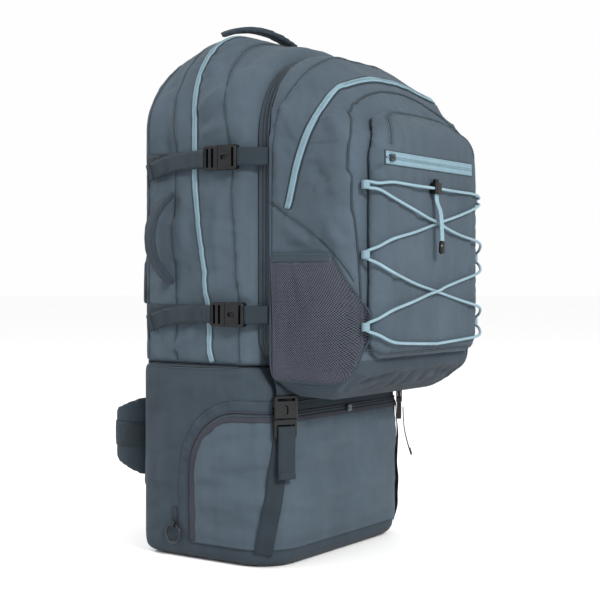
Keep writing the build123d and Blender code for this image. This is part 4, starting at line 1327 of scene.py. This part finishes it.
for name, side in SIDES.items():
    plug = f"base_plug_{name}"
    lean = []
    lean_normals = []
    for i in range(9):
        t = i / 8
        turn = radians(30 + 26 * t**1.2)
        z = 190 - 182 * t
        s_gap = (pi / 2 - turn) * CORNER
        s = SIDE_RUN + s_gap if side < 0 else FLAP_RUN - SIDE_RUN - s_gap
        stand = 0.4
        if z > FLAP_LOW:
            stand = 2.9 + (flap_swell(s, z) if z < 186 else 0.0)
        lean.append(off_corner(side, turn, stand, z))
        lean_normals.append((side * sin(turn), -cos(turn), 0))
    meeting = (plug, vec(lean[6]), vec(lean[1]))
    nodes = first_nodes.pop("base", ())
    web(f"base_strap_{name}", "main_pack", lean, lean_normals, WEBBING, 1.4, nodes, meeting)
    turn = radians(30)
    out = (side * sin(turn), -cos(turn), 0)
    hang = 0.0 if side < 0 else 12.0
    stands = {184: 14.2, 168: 14.9, 150: 14.2 + hang * 0.2, 130: 14.0 + hang * 0.6, 112: 14.6 + hang}
    tail = [off_corner(side, turn, stand, z) for z, stand in stands.items()]
    web(f"base_tail_cloth_{name}", plug, tail, out, WEBBING, 1.4, (f"base_tail_{name}",))
    proud = Vector(out) * 1.3
    end = Vector(tail[-1])
    hem = [end.lerp(Vector(tail[-2]), 0.45) + proud, end + proud]
    web(f"base_tail_hem_{name}", plug, hem, out, WEBBING, 1.4)
    across = Vector((-out[1], out[0], 0)) * 11 * MM
    sewn_at = vec(hem[0]) + Vector(out) * 1.2 * MM
    line = spaced([sewn_at + across, sewn_at - across], 1.0)
    rows = stitches(line, [Vector(out)] * len(line))
    settle(blocks(f"base_tail_stitches_{name}", rows, "thread"), plug, "webbing")
    tab = [off_corner(side, turn, *spot) for spot in ((8.2, 222), (8.3, 228), (5.5, 238), (-2.0, 250))]
    web(f"base_tab_{name}", "daypack", tab, out, WEBBING, 1.5)

    turns = [radians(a) for a in range(-90, 271, 24)]
    loop = [(side * (182.6 + 3.8 * cos(a)), 50, 36 + 3.8 * sin(a)) for a in turns]
    web(f"ring_loop_{name}", "main_pack", loop, [(side * cos(a), 0, sin(a)) for a in turns], 8, 0.7)
    patch = sided(side, (178.8, 50, 33), (179.2, 50, 44), (179.2, 50, 61))
    web(f"ring_patch_{name}", "main_pack", patch, (side, 0, 0), 9, 1.0)
    cross_stitch(f"ring_sewing_{name}", (side * 180.4, 50, 53), (0, 0, 1), (0, 1, 0), (side, 0, 0), 9, 7)


# --- mesh pockets ---------------------------------------------------------------------------
def pocket_front(z):
    return read_off([(240, -218), (262, -238), (300, -252), (340, -254), (412, -210), (430, -210)], z)


def net_point(side, u, v):
    """A spot on the net: u from the rear edge to the front one, v from the bottom to the hem."""
    z = 243 + 169 * v
    y = -109 + (pocket_front(z) + 109) * u
    inward = 0.75 * max(0, -222 - y)
    spot, normal = day_skin.drop(vec((side * (168 - inward), y, z)))
    arch = sin(pi * u)
    sag = arch**0.5 * (0.35 + 0.65 * v) * min(1.0, v * 5)
    pleat = 1.1 * waves(u * 5.5, v * 1.2, 6.0) + 0.6 * waves(u * 13, v * 1.5, 9.0)
    return spot + normal * (1.3 + 7.2 * sag + pleat * min(1, 4 * v) * arch) * MM


def make_net(name, side):
    columns, rows = 34, 98
    verts = []
    faces = []
    width = columns + 1
    for j in range(rows + 1):
        for i in range(width):
            u = (i + 0.5 * (j % 2)) / columns
            verts.append(net_point(side, min(1.0, u), j / rows))
    for j in range(rows - 1):
        for i in range(1, columns):
            below = j * width + i
            left = (j + 1) * width + (i - 1 if j % 2 == 0 else i)
            faces.append((below, left + 1, below + 2 * width, left))
    net = mesh_piece(f"mesh_pocket_net_{name}", verts, faces, "net")
    thread = {"use_boundary": True, "use_replace": True, "use_even_offset": False}
    modify(net, "WIREFRAME", thickness=1.0 * MM, **thread)
    baked(net)
    settle(net, "daypack", "mesh", f"mesh_pocket_{name}")
    hem = [net_point(side, i / 24, 1.0) for i in range(25)]
    out = [Vector((side, -0.1, 0)).normalized()] * 25
    settle(strip(f"mesh_pocket_hem_{name}", hem, out, 12, 1.5, "base"), "daypack", "bag_fabric")
    sewn = [p + out[0] * 1.5 * MM for p in hem]
    rows = stitches(sewn, out, 3.6) + stitches(sewn, out, -3.6)
    settle(blocks(f"mesh_pocket_hem_stitches_{name}", rows, "thread"), "daypack", "bag_fabric")
    border = [net_point(side, 1.0, 1 - i / 30) for i in range(31)]
    border += [net_point(side, 1 - i / 20, 0.0) for i in range(1, 21)]
    border += [net_point(side, 0.0, i / 30) for i in range(1, 31)]
    edge = tube(f"mesh_pocket_border_{name}", smooth_vectors(border, 2), 1.7, "binding", 8)
    settle(edge, "daypack", "bag_fabric")


for name, side in SIDES.items():
    make_net(name, side)


# --- front pocket's zip, webbing loops and elastic cord -------------------------------------
def front_line(x0, x1, z, y):
    """A level line across the pocket's face."""
    return [vec((x0 + (x1 - x0) * i / 40, y, z)) for i in range(41)]


forward = [Vector((0, -1, 0))] * 41
pocket_tapes = {
    "pocket_zip_upper_tape": ((-132, 110, 546.9, -270.0), 7.2, 1.0, "stripe", ("pocket_zip",)),
    "pocket_zip_lower_tape": ((-132, 110, 537.1, -270.0), 7.2, 1.0, "stripe", ()),
    "pocket_zip_ground": ((-135, 113, POCKET_ZIP_Z, -269.7), 19.5, 0.6, "binding", ()),
}
for name, (run, width, thick, material, nodes) in pocket_tapes.items():
    settle(strip(name, front_line(*run), forward, width, thick, material), "daypack", "zip_tape", *nodes)
bars = teeth(front_line(-130, 108, POCKET_ZIP_Z, -270.5), forward, 1.6, 1.3, 0.45)
settle(blocks("pocket_zip_coil", bars, "accent"), "daypack", "zip_tape")
rows = []
for z in (549.4, 534.6):
    rows += stitches(front_line(-131, 109, z, -271.0), forward)
settle(blocks("pocket_zip_stitches", rows, "elastic"), "daypack", "zip_tape")

LOOP_Z = {"top": 506.0, "middle": 415.0, "bottom": 321.0}
CORD_CLEAR = 2.2  # from the cloth to the cord's middle
CORD_OVER = 4.2  # how far one strand rises over the other


def cord_turn(side, z, up, down):
    """The cord's bend round one webbing loop, from above it to below it."""
    return sided(side, (122, -276, z + up), (143, -266, z + up * 0.5), (153, -253, z + 4),
                 (153, -253, z - 4), (143, -266, z - down * 0.5), (122, -276, z - down))


def cord_strand(name, route, crossings, nodes=()):
    """Half of the elastic cord, kept just clear of the pocket and raised where it crosses over."""
    points = curve_through([vec(p) for p in route], 2.0)
    lifted = []
    for p in points:
        spot, normal = day_skin.drop(p)
        stand = (p - spot).dot(normal)
        if stand < CORD_CLEAR * MM:
            p = p + normal * (CORD_CLEAR * MM - stand)
        for x, z in crossings:
            here = unvec(p)
            away = sqrt((here[0] - x) ** 2 + (here[2] - z) ** 2)
            p = p + Vector((0, -CORD_OVER * MM * float(np.exp(-((away / 16) ** 2))), 0))
        lifted.append(p)
    lifted = smooth_vectors(lifted, 5)
    settle(tube(name, lifted, 2.0, "elastic", 12), "daypack", "elastic_cord", *nodes)


behind = [(1.5, -278, 508), (60, -275, 507.5), (118, -272, 507)] + cord_turn(1, 500, 6, 12)[1:5]
behind += [(112, -274, 486), (60, -274, 473), (0, -272.6, 460), (-60, -274, 447)] + cord_turn(-1, 415, 21, 23)
behind += [(-60, -274, 377), (2, -272.6, 366), (64, -274, 354)] + cord_turn(1, 321, 22, 20)
behind += [(70, -274, 297), (0.4, -273.5, 294)]
before = [(-17.5, -278, 508), (-70, -275, 509), (-120, -274, 510)] + cord_turn(-1, 506, 3, 12)[1:5]
before += [(-114, -275, 488), (-60, -275, 475), (-2, -274, 461), (60, -275, 447)] + cord_turn(1, 415, 22, 22)
before += [(60, -275, 380), (-4, -274, 367), (-64, -275, 354)] + cord_turn(-1, 321, 22, 20)
before += [(-70, -274, 297), (-0.4, -273.5, 294)]
cord_strand("bungee_strand_behind", behind, [], ("bungee_cord",))
cord_strand("bungee_strand_before", before, [(0, 460.5), (0, 366.5)])

loop_nodes = ["bungee_loops"]
for name, side in SIDES.items():
    for level, z in LOOP_Z.items():
        z = z - 3 if (side > 0 and level == "top") else z
        fold = sided(side, (147, -241, z), (152.5, -246.5, z), (156.6, -252, z), (155.2, -256.6, z),
                     (150.5, -256.6, z), (148.8, -251.5, z), (150.5, -247, z))
        turning = sided(side, (0.7, -0.7, 0), (0.8, -0.5, 0), (1, 0, 0), (0.3, -1, 0),
                        (-0.3, -1, 0), (-1, 0, 0), (-0.7, 0.7, 0))
        made = (fold, turning, 11, 0.8, tuple(loop_nodes), None, ("accent", "accent_webbing"), 1.0)
        web(f"bungee_loop_{level}_{name}", "daypack", *made)
        loop_nodes = []


# --- the cord's free end --------------------------------------------------------------------
def free_strand(name, x):
    """One strand of the cord's tail, from the cord lock down to the cord end, in metres."""
    data = bpy.data.curves.new(name, "CURVE")
    data.dimensions = "3D"
    data.bevel_depth = 0.002
    data.bevel_resolution = 4
    data.use_fill_caps = True
    route = [(x, -0.2764, 0.5125), (x, -0.2764, 0.502), (x - 0.002, -0.2847, 0.488),
             (x - 0.0016, -0.2859, 0.467), (x + 0.0004, -0.2855, 0.448)]
    spline = data.splines.new("NURBS")
    spline.points.add(len(route) - 1)
    for point, place in zip(spline.points, route):
        point.co = (*place, 1)
    spline.order_u = 3
    spline.use_endpoint_u = True
    data.materials.append(MATERIALS["elastic"])
    return added(name, data), route


def make_cord_end():
    shape = bmesh.new()
    bmesh.ops.create_cube(shape, size=1)
    for v in shape.verts:
        taper = 0.84 if v.co.z > 0 else 1.0
        v.co = Vector((v.co.x * 11 * taper, v.co.y * 6, v.co.z * 18)) * MM
    bmesh.ops.bevel(shape, geom=shape.edges[:], offset=1.6 * MM, segments=3, affect="EDGES")
    mesh = bpy.data.meshes.new("cord_end")
    shape.to_mesh(mesh)
    shape.free()
    mesh.transform(Matrix.Translation(vec((-7.6, -285.5, 427))))
    mesh.materials.append(MATERIALS["plastic"])
    mesh.shade_smooth()
    return added("cord_end", mesh)


cord_end = make_cord_end()
settle(cord_end, "daypack", "moulded_plastic", "bungee_tail")
for name, side in SIDES.items():
    strand, route = free_strand(f"bungee_tail_{name}", -0.008 + 0.0023 * side)
    settle(strand, "daypack", "elastic_cord", "bungee_tail")


# --- pads, harness and belt -----------------------------------------------------------------
pad_bodies = {node: node for node in pads}
pad_bodies["lumbar_pad"] = pad_bodies["back_panel"] = "main_pack"
for node, pad in pads.items():
    settle(pad, pad_bodies[node], "padding", node)
paint(pads["back_panel"], "spacer", lambda x, y, z: (y > 120) & (abs(x) < 118))
paint(pads["lumbar_pad"], "spacer", lambda x, y, z: (abs(x) < 78) & (abs(z - 150) < 56) & (y > 133))
for name, side in SIDES.items():
    shoulder = f"shoulder_strap_{name}"
    wing = f"hip_wing_{name}"
    paint(pads[shoulder], "spacer", lambda x, y, z: y < 146)
    skin = Surface(pads[shoulder])
    near = sided(side, (32, 146, 687), (34, 148, 650), (36, 151, 600), (42, 155, 540), (50, 159, 480),
                 (60, 163, 400), (66, 165, 348))
    far = sided(side, (88, 146, 687), (91, 148, 650), (92, 151, 600), (98, 155, 540), (104, 159, 480),
                (110, 163, 400), (112, 165, 348))
    for edge, route in {"near": near, "far": far}.items():
        points, _ = skin.lay(route, 4, 0.2, 3)
        settle(tube(f"shoulder_edge_{edge}_{name}", points, 1.9, "binding", 8), shoulder, "webbing")
    middle = [((a[0] + b[0]) / 2, a[1] + 9, a[2]) for a, b in zip(near, far)]
    trim(f"shoulder_webbing_{name}", shoulder, "webbing", skin, middle, WEBBING, 1.3, "webbing", 0.4)
    middle = sided(side, (112, 142, 150), (136, 152, 151), (146, 176, 152), (132, 203, 152))
    trim(f"hip_web_{name}", wing, "webbing", Surface(pads[wing]), middle, 36, 1.6, "webbing", 0.4)
    belt = sided(side, (126, 202, 152), (114, 210, 152), (104, 217, 152), (92, 221, 152), (76, 222, 152))
    turning = sided(side, (0.6, 0.8, 0), (0.4, 0.9, 0), (0.2, 1, 0), (0, 1, 0), (0, 1, 0))
    web(f"hip_webbing_cloth_{name}", wing, belt, turning, 38, 1.8, (f"hip_webbing_{name}",))
    run = sided(side, (72, 168, 540), (66, 168, 540), (53, 168, 540), (34, 168, 540))
    web(f"sternum_cloth_{name}", f"sternum_{name}", run, (0, 1, 0), 20, 1.4, (f"sternum_strap_{name}",))
    lower = sided(side, (89, 128, 222), (89, 137, 236), (89, 150, 270), (89, 159, 312), (89, 162, 326))
    meeting = (shoulder, vec((side * 89, 135, 232)), vec((side * 89, 159, 312)))
    nodes = ("harness_webbing",) if side < 0 else ()
    web(f"harness_lower_{name}", "main_pack", lower, (0, 0.87, -0.5), WEBBING, 1.5, nodes, meeting)
    upper = sided(side, (66, 74, 716), (66, 90, 709), (66, 112, 703.5), (66, 130, 698), (66, 143, 690))
    meeting = (shoulder, vec((side * 66, 112, 703)), vec((side * 66, 136, 697)))
    web(f"load_lifter_{name}", "main_pack", upper, (0, 0.35, 0.94), 20, 1.4, (), meeting)
panel_rim = [(-134, 68), (134, 68), (152, 86), (125, 662), (108, 678)]
panel_rim += [(-x, z) for x, z in panel_rim[4:1:-1]] + panel_rim[:1]
rim_points = spaced([vec((x, 127, z)) for x, z in panel_rim], 4)
rim = tube("back_panel_binding", smooth_vectors(rim_points, 10), 2.6, "binding", 8)
settle(rim, "main_pack", "padding")

# --- finishes for the kept CAD pieces -------------------------------------------------------
FINISHES = {
    "plastic": ["buckle_sockets", "lifter_buckles", "cord_lock_body", "cord_lock_plunger",
                "hip_plug", "hip_socket", "sternum_plug", "sternum_socket"],
    "ring": [f"gear_ring_{name}" for name in SIDES],
    "slider": [f"{zip_name}_zip_slider" for zip_name in ("base", "daypack", "pocket")],
    "sheet": ["frame_sheet"],
    "alloy": ["frame_stays"],
}
for kind in ("upper_plug", "lower_plug", "base_plug", "shoulder_adjuster"):
    FINISHES["plastic"] += [f"{kind}_{name}" for name in SIDES]
FINISHES["slider"] += [f"main_zip_slider_{level}" for level in BUCKLE_AT]
for finish, nodes in FINISHES.items():
    for node in nodes:
        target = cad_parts[node]
        if not target.material_slots:
            target.data.materials.append(MATERIALS[finish])
        for place in target.material_slots:
            place.material = MATERIALS[finish]
